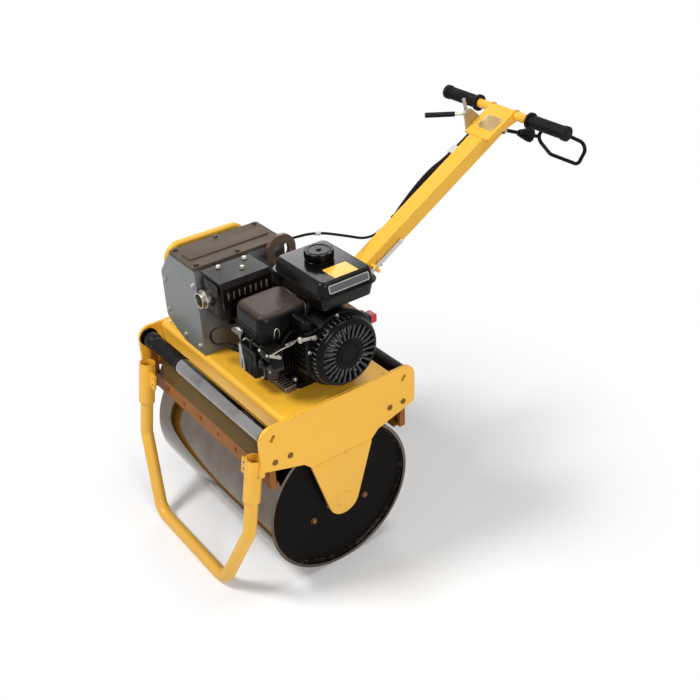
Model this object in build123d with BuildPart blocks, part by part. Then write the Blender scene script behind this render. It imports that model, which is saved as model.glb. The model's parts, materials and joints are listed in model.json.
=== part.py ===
"""Walk-behind single-drum vibratory roller, in millimetres.

X runs along the drum's axle, with +X the side of the recoil starter, -Y is forward and +Z is up.
The origin lies on the ground under the middle of the axle.
"""

import os
from math import cos, radians, sin, tan

from build123d import *

os.makedirs("parts", exist_ok=True)

# Driving dimensions of the drum
drum_diameter = 420.0
drum_width = 560.0
drum_wall = 8.0
disc_thickness = 8.0
disc_recess = 12.0
axle_diameter = 60.0
axle_reach = 60.0
exciter_diameter = 96.0

# Driving dimensions of the frame
frame_overhang = 17.0
plate_thickness = 8.0
plate_height = 114.0
plate_corner = 34.0
plate_foot_corner = 14.0
plate_shoulder_drop = 34.0
plate_slot_length = 20.0
plate_slot_width = 9.0
plate_slot_inset = 8.0
plate_slot_tilt = 55.0
deck_rise = 102.0
deck_inset = 67.0
deck_thickness = 6.0
deck_flange = 52.0
deck_bend = 14.0
leg_top_width = 178.0
leg_drop = 56.0
leg_flare = 22.0
leg_tip_radius = 45.0
leg_seam = 6.0
cross_bar_diameter = 42.4
cross_bar_inset = 27.0
cross_bar_drop = 32.0
cross_bar_wall = 2.0
bar_core_diameter = 25.0
grip_length = 172.0
grip_diameter = 36.0
grip_bulb_diameter = 45.0
grip_bulb_length = 22.0
grip_taper = 12.0
grip_flange = 10.0
grip_round = 9.0

# Driving dimensions of the parking stand
stand_tube = 33.7
stand_wall = 5.0
stand_lean = 9.0
stand_inset = 24.0
stand_foot_inset = 94.0
stand_bend = 55.0
stand_travel = 80.0
stand_insert = 58.0
sleeve_diameter = 42.4
sleeve_length = 118.0
sleeve_hold = 24.0
lug_width = 30.0
lug_length = 42.0
lug_sheet = 6.0

# Driving dimensions of the scrapers
blade_rise = 0.61
scraper_share = 0.35
scraper_depth = 26.0
scraper_sheet = 5.0
tab_thickness = 10.0
tab_width = 16.0

# Driving dimensions of the engine
crank_y = 30.0
crank_height = 106.0
case_width = 146.0
case_length = 150.0
case_rise = 128.0
cylinder_rise = 82.0
cylinder_size = 92.0
foot_thickness = 14.0
foot_lip = 14.0
fan_radius = 97.0
fan_depth = 54.0
recoil_radius = 86.0
recoil_depth = 30.0
recoil_slots = 26
handle_length = 62.0
handle_width = 26.0
handle_height = 20.0
fin_count = 7
fin_pitch = 8.5
fin_thickness = 3.0
tank_length = 212.0
tank_width = 166.0
tank_base = 218.0
strap_width = 96.0
strap_depth = 64.0
strap_sheet = 4.0
cleaner_width = 124.0
cleaner_length = 136.0
cleaner_top = 216.0
carb_width = 44.0
carb_length = 34.0
carb_height = 58.0
carb_bowl = 24.0
muffler_rise = 132.0
muffler_length = 136.0
muffler_height = 106.0
muffler_wall = 5.0
muffler_corner = 28.0
muffler_pipe_room = 24.0
shield_slots = 8
shield_slot_length = 22.0
shield_slot_width = 6.0

# Driving dimensions of the drive guard and the lifting eye
guard_inset = 41.0
guard_front_inset = 5.0
guard_rear_inset = 58.0
guard_slope = 55.0
guard_height = 234.0
guard_sheet = 3.0
guard_skirt = 86.0
pump_length = 124.0
pump_height = 196.0
hoop_tube = 22.0
hoop_height = 214.0
eye_thickness = 10.0
eye_radius = 42.0
eye_hole = 44.0
eye_height = 268.0
eye_inset = 82.0

# Driving dimensions of the drawbar and its controls
drawbar_angle = 30.5
drawbar_length = 700.0
drawbar_width = 50.0
drawbar_depth = 40.0
drawbar_wall = 2.0
pivot_reach = 5.0
drawbar_pivot_rise = 44.0
pivot_pin_diameter = 16.0
cheek_thickness = 6.0
head_width = 90.0
head_sheet = 3.0
handlebar_diameter = 25.0
handlebar_length = 444.0
handle_grip_length = 132.0
handle_grip_diameter = 33.0
loop_rod = 10.0

# Named clearances
side_gap = 6.0
pin_gap = 0.3
grip_gap = 12.0
bar_step_gap = 1.0
slide_gap = 0.6
scraper_gap = 6.0
sleeve_gap = 4.8
tab_gap = 8.0
muffler_gap = 5.0
hoop_gap = 3.5
pump_gap = 6.0
pump_side_gap = 12.04
eye_gap = 14.0
eye_side_gap = 1.96
cheek_gap = 5.0
case_gap = 28.995

# Places that follow from the driving dimensions
drum_radius = drum_diameter / 2
axle_z = drum_radius
deck_height = drum_diameter + deck_rise
half_frame = drum_radius + frame_overhang
deck_length = 2 * (half_frame - deck_inset)
plate_inner = drum_width / 2 + side_gap
plate_outer = plate_inner + plate_thickness
plate_bottom = deck_height - plate_height
leg_top_height = plate_bottom - leg_drop
cross_bar_y = half_frame - cross_bar_inset
cross_bar_z = deck_height - cross_bar_drop
sides = (("left", 1), ("right", -1))


def save(piece, name):
    """Label one finished piece and write its file."""
    piece.part.label = name
    export_step(piece.part, f"parts/{name}.step")


# Drum: a rolled shell with recessed end discs and the exciter housing between them
with BuildPart() as drum_shell:
    with BuildSketch(Plane.YZ.offset(-drum_width / 2)):
        with Locations((0, axle_z)):
            Circle(drum_radius)
            Circle(drum_radius - drum_wall, mode=Mode.SUBTRACT)
    extrude(amount=drum_width)
save(drum_shell, "drum_shell")

disc_outer_x = drum_width / 2 - disc_recess
disc_inner_x = disc_outer_x - disc_thickness
for side_name, side in sides:
    disc_start = disc_inner_x if side > 0 else -disc_outer_x
    with BuildPart() as drum_disc:
        with BuildSketch(Plane.YZ.offset(disc_start)):
            with Locations((0, axle_z)):
                Circle(drum_radius - drum_wall)
                Circle(axle_diameter / 2 + pin_gap, mode=Mode.SUBTRACT)
        extrude(amount=disc_thickness)
    save(drum_disc, f"drum_disc_{side_name}")

with BuildPart() as exciter_housing:
    with BuildSketch(Plane.YZ.offset(-disc_inner_x)):
        with Locations((0, axle_z)):
            Circle(exciter_diameter / 2)
    extrude(amount=2 * disc_inner_x)
    with BuildSketch(Plane.YZ.offset(-disc_inner_x)):
        with Locations((0, axle_z)):
            Circle(axle_diameter / 2 + pin_gap)
    extrude(amount=2 * disc_inner_x, mode=Mode.SUBTRACT)
save(exciter_housing, "exciter_housing")

# Side plates with slotted ends and the legs that carry the axle
plate_shoulder = plate_bottom - plate_shoulder_drop
slot_y = cross_bar_y - plate_slot_inset
for side_name, side in sides:
    plate_start = plate_inner if side > 0 else -plate_outer
    with BuildPart() as side_plate:
        with BuildSketch(Plane.YZ.offset(plate_start)) as plate_outline:
            with BuildLine():
                Polyline(
                    (-half_frame, plate_bottom),
                    (-half_frame, deck_height),
                    (half_frame, deck_height),
                    (half_frame, plate_bottom),
                    (leg_top_width / 2 + leg_flare, plate_shoulder),
                    (leg_top_width / 2, leg_top_height),
                    (-leg_top_width / 2, leg_top_height),
                    (-leg_top_width / 2 - leg_flare, plate_shoulder),
                    close=True,
                )
            make_face()
            fillet(plate_outline.vertices().group_by(Axis.Y)[-1], plate_corner)
            fillet(plate_outline.vertices().group_by(Axis.X)[0].sort_by(Axis.Y)[:1], plate_foot_corner)
            fillet(plate_outline.vertices().group_by(Axis.X)[-1].sort_by(Axis.Y)[:1], plate_foot_corner)
            with Locations((-slot_y, cross_bar_z), (slot_y, cross_bar_z)):
                SlotOverall(plate_slot_length, plate_slot_width, rotation=plate_slot_tilt, mode=Mode.SUBTRACT)
        extrude(amount=plate_thickness)
    save(side_plate, f"side_plate_{side_name}")

    with BuildPart() as drum_leg:
        with BuildSketch(Plane.YZ.offset(plate_start)):
            with Locations((0, axle_z)):
                Circle(leg_tip_radius)
            with Locations((0, leg_top_height - leg_seam / 2)):
                Rectangle(leg_top_width, leg_seam)
            make_hull()
        extrude(amount=plate_thickness)
    save(drum_leg, f"drum_leg_{side_name}")

    stub_start = plate_inner - axle_reach if side > 0 else -plate_inner
    with BuildPart() as axle_stub:
        with BuildSketch(Plane.YZ.offset(stub_start)):
            with Locations((0, axle_z)):
                Circle(axle_diameter / 2)
        extrude(amount=axle_reach)
    save(axle_stub, f"axle_stub_{side_name}")

# Deck: one sheet with its front and rear edges folded down
with BuildPart() as deck:
    with BuildSketch(Plane.YZ.offset(-plate_inner)) as deck_profile:
        with Locations((0, deck_height)):
            Rectangle(deck_length, deck_flange, align=(Align.CENTER, Align.MAX))
        fillet(deck_profile.vertices().group_by(Axis.Y)[-1], deck_bend)
        with Locations((0, deck_height - deck_thickness)):
            Rectangle(
                deck_length - 2 * deck_thickness,
                deck_flange,
                align=(Align.CENTER, Align.MAX),
                mode=Mode.SUBTRACT,
            )
    extrude(amount=2 * plate_inner)
save(deck, "deck")

# Cross bars: a bright bar with a hand grip in front, a black tube behind
grip_start = -plate_inner + grip_gap
grip_end = grip_start + grip_length
with BuildPart() as front_bar:
    with BuildSketch(Plane.YZ.offset(grip_end + bar_step_gap)):
        with Locations((-cross_bar_y, cross_bar_z)):
            Circle(cross_bar_diameter / 2)
    extrude(amount=plate_inner - grip_end - bar_step_gap)
    with BuildSketch(Plane.YZ.offset(-plate_inner)):
        with Locations((-cross_bar_y, cross_bar_z)):
            Circle(bar_core_diameter / 2)
    extrude(amount=plate_inner + grip_end + bar_step_gap)
save(front_bar, "front_bar")

with BuildPart() as front_bar_grip:
    with BuildSketch(Plane.XY.offset(cross_bar_z)) as grip_profile:
        with BuildLine():
            Polyline(
                (grip_start, -cross_bar_y),
                (grip_start, -cross_bar_y + grip_bulb_diameter / 2),
                (grip_start + grip_bulb_length, -cross_bar_y + grip_bulb_diameter / 2),
                (grip_start + grip_bulb_length + grip_taper, -cross_bar_y + grip_diameter / 2),
                (grip_end - grip_flange, -cross_bar_y + grip_diameter / 2),
                (grip_end - grip_flange, -cross_bar_y + grip_bulb_diameter / 2),
                (grip_end, -cross_bar_y + grip_bulb_diameter / 2),
                (grip_end, -cross_bar_y),
                close=True,
            )
        make_face()
        bulb_corners = grip_profile.vertices().group_by(Axis.Y)[-1].sort_by(Axis.X)
        fillet(bulb_corners[:2], grip_round)
    revolve(axis=Axis((0, -cross_bar_y, cross_bar_z), (1, 0, 0)))
    with BuildSketch(Plane.YZ.offset(grip_start)):
        with Locations((-cross_bar_y, cross_bar_z)):
            Circle(bar_core_diameter / 2 + pin_gap)
    extrude(amount=grip_length, mode=Mode.SUBTRACT)
save(front_bar_grip, "front_bar_grip")

with BuildPart() as rear_bar:
    with BuildSketch(Plane.YZ.offset(-plate_inner)):
        with Locations((cross_bar_y, cross_bar_z)):
            Circle(cross_bar_diameter / 2)
            Circle(cross_bar_diameter / 2 - cross_bar_wall, mode=Mode.SUBTRACT)
    extrude(amount=2 * plate_inner)
save(rear_bar, "rear_bar")

# Scrapers: an angle bar across each side of the drum, hung on tabs from the side plates
blade_z = axle_z + blade_rise * drum_radius
blade_tip_y = ((drum_radius + scraper_gap) ** 2 - (blade_z - axle_z) ** 2) ** 0.5
scraper_y = blade_tip_y + scraper_depth
bar_underside = cross_bar_z - cross_bar_diameter / 2
scraper_height = scraper_share * (bar_underside - blade_z)
tab_inner = plate_inner - tab_thickness
tab_top = bar_underside - tab_gap
for end_name, end in (("front", -1), ("rear", 1)):
    with BuildPart() as scraper:
        with BuildSketch(Plane.YZ.offset(-tab_inner)):
            with Locations((end * (scraper_y - scraper_sheet / 2), blade_z + scraper_height / 2)):
                Rectangle(scraper_sheet, scraper_height)
            with Locations((end * (scraper_y + blade_tip_y) / 2, blade_z + scraper_sheet / 2)):
                Rectangle(scraper_y - blade_tip_y, scraper_sheet)
        extrude(amount=2 * tab_inner)
        for side_name, side in sides:
            with BuildSketch(Plane.YZ.offset(side * (tab_inner + plate_inner) / 2)):
                with Locations((end * (scraper_y - scraper_sheet), (blade_z + tab_top) / 2)):
                    Rectangle(tab_width, tab_top - blade_z)
            extrude(amount=tab_thickness / 2, both=True)
    save(scraper, f"scraper_{end_name}")

# Parking stand: a bent tube that slides in two leaning sleeves
lean = radians(stand_lean)
foot_z = stand_tube / 2
stand_spread = plate_inner - stand_inset
stand_foot_spread = stand_spread - stand_foot_inset
sleeve_top = plate_bottom + sleeve_hold
sleeve_bottom = sleeve_top - sleeve_length * cos(lean)
sleeve_top_y = -scraper_y - sleeve_diameter / 2 - sleeve_gap
foot_y = sleeve_top_y - (sleeve_top - foot_z) * tan(lean)
stand_plane = Plane(origin=(0, foot_y, foot_z), x_dir=(1, 0, 0), z_dir=(0, -cos(lean), sin(lean)))
sleeve_low = (sleeve_bottom - foot_z) / cos(lean)
sleeve_high = sleeve_low + sleeve_length
bend_room = stand_bend * tan(radians(15))
knee = sleeve_low - stand_travel - bend_room
leg_top = sleeve_low + stand_insert
with BuildPart() as stand_hoop:
    with BuildLine(stand_plane) as hoop_path:
        FilletPolyline(
            (-stand_spread, leg_top),
            (-stand_spread, knee),
            (-stand_foot_spread, 0),
            (stand_foot_spread, 0),
            (stand_spread, knee),
            (stand_spread, leg_top),
            radius=stand_bend,
        )
    with BuildSketch(Plane(hoop_path.line @ 0, z_dir=hoop_path.line % 0)):
        Circle(stand_tube / 2)
        Circle(stand_tube / 2 - stand_wall, mode=Mode.SUBTRACT)
    sweep()
save(stand_hoop, "stand_hoop")

sleeve_plane = Plane(
    origin=stand_plane.from_local_coords((0, sleeve_low, 0)),
    x_dir=(1, 0, 0),
    z_dir=(0, sin(lean), cos(lean)),
)
lug_top = 20.0
lug_sink = 4.0
lug_hole_inset = 12.0
lug_hole_pitch = 18.0
lug_hole_diameter = 8.0
hole_reach = 20.0
strut_drop = 44.0
strut_length = 40.0
strut_width = 18.0
strut_shift = 8.0
with BuildPart() as stand_sleeves:
    for side_name, side in sides:
        with BuildSketch(sleeve_plane):
            with Locations((side * stand_spread, 0)):
                Circle(sleeve_diameter / 2)
        extrude(amount=sleeve_length)
        with BuildSketch(sleeve_plane.offset(sleeve_length - strut_drop)):
            with Locations((side * (stand_spread + plate_inner) / 2, strut_shift)):
                Rectangle(plate_inner - stand_spread, strut_width)
        extrude(amount=strut_length)
        with BuildSketch(sleeve_plane.offset(sleeve_length - lug_top - lug_length)):
            with Locations((side * (stand_spread - sleeve_diameter / 2 - lug_width / 2 + lug_sink), 0)):
                Rectangle(lug_width, lug_sheet)
        extrude(amount=lug_length)
    for side_name, side in sides:
        with BuildSketch(sleeve_plane):
            with Locations((side * stand_spread, 0)):
                Circle(stand_tube / 2 + slide_gap)
        extrude(amount=sleeve_length, mode=Mode.SUBTRACT)
    lug_hole_x = stand_spread - sleeve_diameter / 2 - lug_width / 2
    with BuildSketch(stand_plane.offset(-hole_reach)):
        for hole_drop in (lug_top + lug_hole_inset, lug_top + lug_hole_inset + lug_hole_pitch):
            with Locations((-lug_hole_x, sleeve_high - hole_drop), (lug_hole_x, sleeve_high - hole_drop)):
                Circle(lug_hole_diameter / 2)
    extrude(amount=2 * hole_reach, mode=Mode.SUBTRACT)
save(stand_sleeves, "stand_sleeves")

# Engine: finned crankcase and cylinder lying towards the front
cheek_inner = drawbar_width / 2 + cheek_gap
cheek_outer = cheek_inner + cheek_thickness
engine_x = cheek_outer + case_gap + case_width / 2
crank_z = deck_height + crank_height
case_left = engine_x - case_width / 2
case_right = engine_x + case_width / 2
case_front = crank_y - case_length / 2
case_rear = crank_y + case_length / 2
case_top = deck_height + case_rise
cylinder_z = deck_height + cylinder_rise
fin_end = case_front - fin_count * fin_pitch
head_depth = 22.0
cover_depth = 20.0
foot_round = 12.0
case_round = 18.0
barrel_inset = 9.0
barrel_round = 20.0
barrel_sink = 1.0
fin_reach = 9.0
fin_round = 14.0
head_round = 12.0
cover_side_inset = 8.0
cover_end_inset = 6.0
cover_round = 14.0
cover_draft = 8
with BuildPart() as engine_block:
    with BuildSketch(Plane.XY.offset(deck_height)) as base_outline:
        with Locations((engine_x - foot_lip / 2, crank_y)):
            Rectangle(case_width + foot_lip, case_length + 2 * foot_lip)
        fillet(base_outline.vertices(), foot_round)
    extrude(amount=foot_thickness)
    with BuildSketch(Plane.XY.offset(deck_height + foot_thickness)) as case_outline:
        with Locations((engine_x, crank_y)):
            Rectangle(case_width, case_length)
        fillet(case_outline.vertices(), case_round)
    extrude(amount=case_top - deck_height - foot_thickness)
    with BuildSketch(Plane.XZ.offset(-case_front - barrel_sink)) as barrel:
        with Locations((engine_x, cylinder_z)):
            Rectangle(cylinder_size - 2 * barrel_inset, cylinder_size - 2 * barrel_inset)
        fillet(barrel.vertices(), barrel_round)
    extrude(amount=fin_count * fin_pitch + barrel_sink)
    for fin in range(fin_count):
        with BuildSketch(Plane.XZ.offset(-case_front + (fin + 0.5) * fin_pitch)) as fin_outline:
            with Locations((engine_x, cylinder_z)):
                Rectangle(cylinder_size + 2 * fin_reach, cylinder_size)
            fillet(fin_outline.vertices(), fin_round)
        extrude(amount=fin_thickness)
    with BuildSketch(Plane.XZ.offset(-fin_end)) as cylinder_head:
        with Locations((engine_x, cylinder_z)):
            Rectangle(cylinder_size, cylinder_size)
        fillet(cylinder_head.vertices(), head_round)
    extrude(amount=head_depth)
save(engine_block, "engine_block")

with BuildPart() as valve_cover:
    with BuildSketch(Plane.XZ.offset(-fin_end + head_depth)) as cover_outline:
        with Locations((engine_x, cylinder_z)):
            Rectangle(cylinder_size - 2 * cover_side_inset, cylinder_size - 2 * cover_end_inset)
        fillet(cover_outline.vertices(), cover_round)
    extrude(amount=cover_depth, taper=cover_draft)
save(valve_cover, "valve_cover")

fan_start = case_right
scroll_reach = 26.0
scroll_shift = 0.28
scroll_length = fan_radius + scroll_reach
scroll_rise = 20.0
scroll_height = 116.0
switch_box = 32.0
switch_sink = 1.0
switch_rise = 30.0
switch_inset = 8.0
fan_round = 6.0
switch_y = crank_y + fan_radius - switch_sink
switch_z = crank_z + switch_rise
fan_end = fan_start + fan_depth
with BuildPart() as fan_housing:
    with BuildSketch(Plane.YZ.offset(fan_start)) as scroll:
        with Locations((crank_y, crank_z)):
            Circle(fan_radius)
        with Locations((crank_y - scroll_length * scroll_shift, crank_z + scroll_rise)):
            Rectangle(scroll_length, scroll_height)
    extrude(amount=fan_depth)
    fillet(fan_housing.edges().group_by(Axis.X)[-1], fan_round)
    with BuildSketch(Plane.YZ.offset(fan_start + switch_inset)):
        with Locations((switch_y, switch_z)):
            Rectangle(switch_box, switch_box, align=(Align.MAX, Align.CENTER))
    extrude(amount=fan_depth - 2 * switch_inset)
save(fan_housing, "fan_housing")

# Recoil starter: a domed cover with a ring of radial slots round a plain centre disc
recoil_end = fan_end + recoil_depth
recoil_sheet = 3.0
recoil_round = 12.0
slot_width = 6.0
centre_rise = 2.0
slot_length = 0.4 * recoil_radius
slot_ring = 0.66 * recoil_radius
centre_radius = 0.38 * recoil_radius
with BuildPart() as recoil_starter:
    with BuildSketch(Plane.YZ.offset(fan_end)):
        with Locations((crank_y, crank_z)):
            Circle(recoil_radius)
    extrude(amount=recoil_depth)
    fillet(recoil_starter.edges().group_by(Axis.X)[-1], recoil_round)
    offset(amount=-recoil_sheet, openings=recoil_starter.faces().sort_by(Axis.X)[0])
    with BuildSketch(Plane.YZ.offset(recoil_end)):
        with Locations((crank_y, crank_z)):
            with PolarLocations(slot_ring, recoil_slots):
                SlotOverall(slot_length, slot_width)
    extrude(amount=-2 * recoil_sheet, mode=Mode.SUBTRACT)
    with BuildSketch(Plane.YZ.offset(recoil_end)):
        with Locations((crank_y, crank_z)):
            Circle(centre_radius)
    extrude(amount=centre_rise)
save(recoil_starter, "recoil_starter")

# Recoil handle parked on top of the fan housing, on its rope boss
handle_x = fan_end - handle_length / 2
handle_inset = 13.0
handle_round = 7.0
handle_y = crank_y - fan_radius + handle_inset
scroll_top = crank_z + scroll_rise + scroll_height / 2
boss_height = 5.0
with BuildPart() as recoil_handle:
    with BuildSketch(Plane.XY.offset(scroll_top)):
        with Locations((handle_x, handle_y)):
            Circle(handle_width / 4)
    extrude(amount=boss_height)
    with BuildSketch(Plane.XY.offset(scroll_top + boss_height)):
        with Locations((handle_x, handle_y)):
            SlotOverall(handle_length, handle_width)
    extrude(amount=handle_height)
    fillet(recoil_handle.edges().group_by(Axis.Z)[-1], handle_round)
save(recoil_handle, "recoil_handle")

switch_size = 22.0
switch_depth = 24.0
switch_back = 14.0
switch_round = 4.0
with BuildPart() as engine_switch:
    with BuildSketch(Plane.YZ.offset(fan_start + switch_back)):
        with Locations((switch_y, switch_z)):
            Rectangle(switch_size, switch_size, align=(Align.MIN, Align.CENTER))
    extrude(amount=switch_depth)
    fillet(engine_switch.edges().filter_by(Axis.X), switch_round)
save(engine_switch, "engine_switch")

# Fuel tank: two pressed halves that meet at a rolled lip, on a strap from the crankcase
tank_end_inset = 17.0
tank_shift = 26.0
tank_x = recoil_end - tank_length / 2 - tank_end_inset
tank_y = crank_y + tank_shift
tank_z = deck_height + tank_base
lip_thickness = 5.0
lower_half = 34.0
upper_half = 30.0
lip_width = 5.0
lip_round = 26.0
tank_round = 24.0
lower_draft = 12
upper_draft = 14
tank_crown = 9.0
with BuildPart() as fuel_tank:
    with BuildSketch(Plane.XY.offset(tank_z + lower_half)) as lower_outline:
        with Locations((tank_x, tank_y)):
            Rectangle(tank_length - 2 * lip_width, tank_width - 2 * lip_width)
        fillet(lower_outline.vertices(), tank_round)
    extrude(amount=-lower_half, taper=lower_draft)
    with BuildSketch(Plane.XY.offset(tank_z + lower_half)) as lip_outline:
        with Locations((tank_x, tank_y)):
            Rectangle(tank_length, tank_width)
        fillet(lip_outline.vertices(), lip_round)
    extrude(amount=lip_thickness)
    with BuildSketch(Plane.XY.offset(tank_z + lower_half + lip_thickness)) as upper_outline:
        with Locations((tank_x, tank_y)):
            Rectangle(tank_length - 2 * lip_width, tank_width - 2 * lip_width)
        fillet(upper_outline.vertices(), tank_round)
    extrude(amount=upper_half, taper=upper_draft)
    fillet(fuel_tank.edges().group_by(Axis.Z)[-1], tank_crown)
save(fuel_tank, "fuel_tank")

strap_shift = 10.0
with BuildPart() as tank_strap:
    with BuildSketch(Plane.XZ.offset(-tank_y - strap_depth / 2)):
        with Locations((engine_x + strap_shift, (case_top + tank_z) / 2)):
            Rectangle(strap_width, tank_z - case_top)
            Rectangle(strap_width - 2 * strap_sheet, tank_z - case_top - 2 * strap_sheet, mode=Mode.SUBTRACT)
    extrude(amount=strap_depth)
save(tank_strap, "tank_strap")

tank_top = tank_z + lower_half + lip_thickness + upper_half
cap_shift = 16.0
cap_neck = 27.0
cap_neck_height = 6.0
cap_radius = 35.0
cap_height = 17.0
cap_edge = 2.0
flute_count = 10
flute_radius = 5.0
flute_ring = 37.0
cap_x = tank_x - cap_shift
with BuildPart() as fuel_cap:
    with BuildSketch(Plane.XY.offset(tank_top)):
        with Locations((cap_x, tank_y)):
            Circle(cap_neck)
    extrude(amount=cap_neck_height)
    with BuildSketch(Plane.XY.offset(tank_top + cap_neck_height)):
        with Locations((cap_x, tank_y)):
            Circle(cap_radius)
            with PolarLocations(flute_ring, flute_count):
                Circle(flute_radius, mode=Mode.SUBTRACT)
    extrude(amount=cap_height)
    fillet(fuel_cap.edges().group_by(Axis.Z)[-1], cap_edge)
save(fuel_cap, "fuel_cap")

# Air cleaner: a deep lower body with a broad lid, over the intake elbow
cleaner_shift = 2.0
cleaner_reach = 28.0
lid_round = 26.0
lid_draft = 3
lid_crown = 16.0
body_inset = 6.0
body_round = 22.0
cleaner_x = engine_x + cleaner_shift
cleaner_y = case_front - cleaner_reach
cleaner_z = deck_height + cleaner_top
lid_depth = 46.0
body_depth = 26.0
with BuildPart() as air_cleaner:
    with BuildSketch(Plane.XY.offset(cleaner_z - lid_depth)) as lid_outline:
        with Locations((cleaner_x, cleaner_y)):
            Rectangle(cleaner_width, cleaner_length)
        fillet(lid_outline.vertices(), lid_round)
    extrude(amount=lid_depth, taper=lid_draft)
    fillet(air_cleaner.edges().group_by(Axis.Z)[-1], lid_crown)
    with BuildSketch(Plane.XY.offset(cleaner_z - lid_depth)) as body_outline:
        with Locations((cleaner_x, cleaner_y)):
            Rectangle(cleaner_width - 2 * body_inset, cleaner_length - 2 * body_inset)
        fillet(body_outline.vertices(), body_round)
    extrude(amount=-body_depth)
save(air_cleaner, "air_cleaner")

cleaner_bottom = cleaner_z - lid_depth - body_depth
carb_x = engine_x + cylinder_size / 2
carb_gap = 0.5
bowl_inset = 2.0
carb_y = fin_end - carb_length / 2 - carb_gap
with BuildPart() as carburettor:
    with BuildSketch(Plane.XY.offset(cleaner_bottom)):
        with Locations((carb_x, carb_y)):
            Rectangle(carb_width, carb_length, align=(Align.MIN, Align.CENTER))
    extrude(amount=-carb_height)
    with BuildSketch(Plane.XY.offset(cleaner_bottom - carb_height)):
        with Locations((carb_x + carb_width / 2, carb_y)):
            Circle(carb_length / 2 - bowl_inset)
    extrude(amount=-carb_bowl)
save(carburettor, "carburettor")

# Muffler in front of the drive guard, with its slotted heat shield and outlet
guard_left = guard_inset - plate_inner
guard_right = -cheek_outer - eye_side_gap - eye_thickness - eye_gap
muffler_width = case_left - muffler_pipe_room - guard_right - muffler_gap
muffler_x = guard_right + muffler_gap + muffler_width / 2
muffler_reach = 32.0
muffler_crown = 14.0
neck_inset = 2.0
muffler_y = case_front - muffler_reach
muffler_z = deck_height + muffler_rise
muffler_top = muffler_z + muffler_height
neck_radius = 11.0
neck_x = muffler_x + muffler_width / 2 - muffler_corner
neck_y = fin_end - head_depth / 2
neck_z = cylinder_z + cylinder_size / 2 - neck_radius - neck_inset
with BuildPart() as muffler:
    with BuildSketch(Plane.XY.offset(muffler_z)) as muffler_outline:
        with Locations((muffler_x, muffler_y)):
            Rectangle(muffler_width, muffler_length)
        fillet(muffler_outline.vertices(), muffler_corner)
    extrude(amount=muffler_height)
    fillet(muffler.edges().group_by(Axis.Z)[-1], muffler_crown)
    fillet(muffler.edges().group_by(Axis.Z)[0], muffler_crown)
    with BuildSketch(Plane.XY.offset(muffler_z + muffler_wall)) as muffler_inside:
        with Locations((muffler_x, muffler_y)):
            Rectangle(muffler_width - 2 * muffler_wall, muffler_length - 2 * muffler_wall)
        fillet(muffler_inside.vertices(), muffler_corner - muffler_wall)
    extrude(amount=muffler_height - 2 * muffler_wall, mode=Mode.SUBTRACT)
    with BuildSketch(Plane.YZ.offset(neck_x)):
        with Locations((neck_y, neck_z)):
            Circle(neck_radius)
    extrude(amount=engine_x - cylinder_size / 2 - neck_x)
    with BuildSketch(Plane.XY.offset(neck_z)):
        with Locations((neck_x, neck_y)):
            Circle(neck_radius)
    extrude(amount=muffler_z + muffler_wall - neck_z)
save(muffler, "muffler")

shield_gap = 4.0
shield_sheet = 2.5
shield_side_x = muffler_x + muffler_width / 2 + shield_gap
shield_drop = 62.0
shield_inset = 6.0
shield_bend = 8.0
shield_fall = 10.0
shield_ease = 1.0
slot_drop = 32.0
with BuildPart() as muffler_shield:
    with BuildSketch(Plane.XZ.offset(-muffler_y - muffler_length / 2)) as shield_profile:
        with BuildLine():
            Polyline(
                (muffler_x - muffler_width / 2 + shield_inset, muffler_top),
                (shield_side_x - shield_bend, muffler_top),
                (shield_side_x, muffler_top - shield_fall),
                (shield_side_x, muffler_top - shield_drop),
                (shield_side_x + shield_sheet, muffler_top - shield_drop),
                (shield_side_x + shield_sheet, muffler_top - shield_fall + shield_ease),
                (shield_side_x - shield_bend + shield_ease, muffler_top + shield_sheet),
                (muffler_x - muffler_width / 2 + shield_inset, muffler_top + shield_sheet),
                close=True,
            )
        make_face()
    extrude(amount=muffler_length)
    with BuildSketch(Plane.YZ.offset(shield_side_x - shield_ease)):
        with Locations((muffler_y, muffler_top - slot_drop)):
            with GridLocations(muffler_length / (shield_slots + 1), 0, shield_slots, 1):
                SlotOverall(shield_slot_length, shield_slot_width, rotation=90)
    extrude(amount=shield_sheet + 2 * shield_ease, mode=Mode.SUBTRACT)
save(muffler_shield, "muffler_shield")

outlet_radius = 20.0
outlet_wall = 3.0
outlet_length = 24.0
outlet_offset = 0.22 * muffler_width
outlet_rise = 0.42 * muffler_height
with BuildPart() as exhaust_outlet:
    with BuildSketch(Plane.XZ.offset(-muffler_y + muffler_length / 2)):
        with Locations((muffler_x - outlet_offset, muffler_z + outlet_rise)):
            Circle(outlet_radius)
            Circle(outlet_radius - outlet_wall, mode=Mode.SUBTRACT)
    extrude(amount=outlet_length)
save(exhaust_outlet, "exhaust_outlet")

# Drive guard: a folded sheet casing over the belt and pump, open below, with a dark lid
guard_front = guard_front_inset - deck_length / 2
guard_rear = deck_length / 2 - guard_rear_inset
guard_top = deck_height + guard_height
guard_edge = 4.0
guard_edge_drop = 18.0
guard_round = 16.0
shoulder_drop = 66.0
skirt_rise = 38.0
guard_shoulder = guard_top - shoulder_drop
guard_foot = deck_height + skirt_rise
with BuildPart() as drive_guard:
    with BuildSketch(Plane.XZ.offset(-guard_rear)) as guard_profile:
        with BuildLine():
            Polyline(
                (guard_left + guard_skirt, deck_height),
                (guard_left, guard_foot),
                (guard_left, guard_shoulder),
                (guard_left + guard_slope, guard_top),
                (guard_right - guard_edge, guard_top),
                (guard_right, guard_top - guard_edge_drop),
                (guard_right, deck_height),
                close=True,
            )
        make_face()
        fillet(guard_profile.vertices().group_by(Axis.X)[0], guard_round)
    extrude(amount=guard_rear - guard_front)
    offset(amount=-guard_sheet, openings=drive_guard.faces().sort_by(Axis.Z)[0])
save(drive_guard, "drive_guard")

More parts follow.
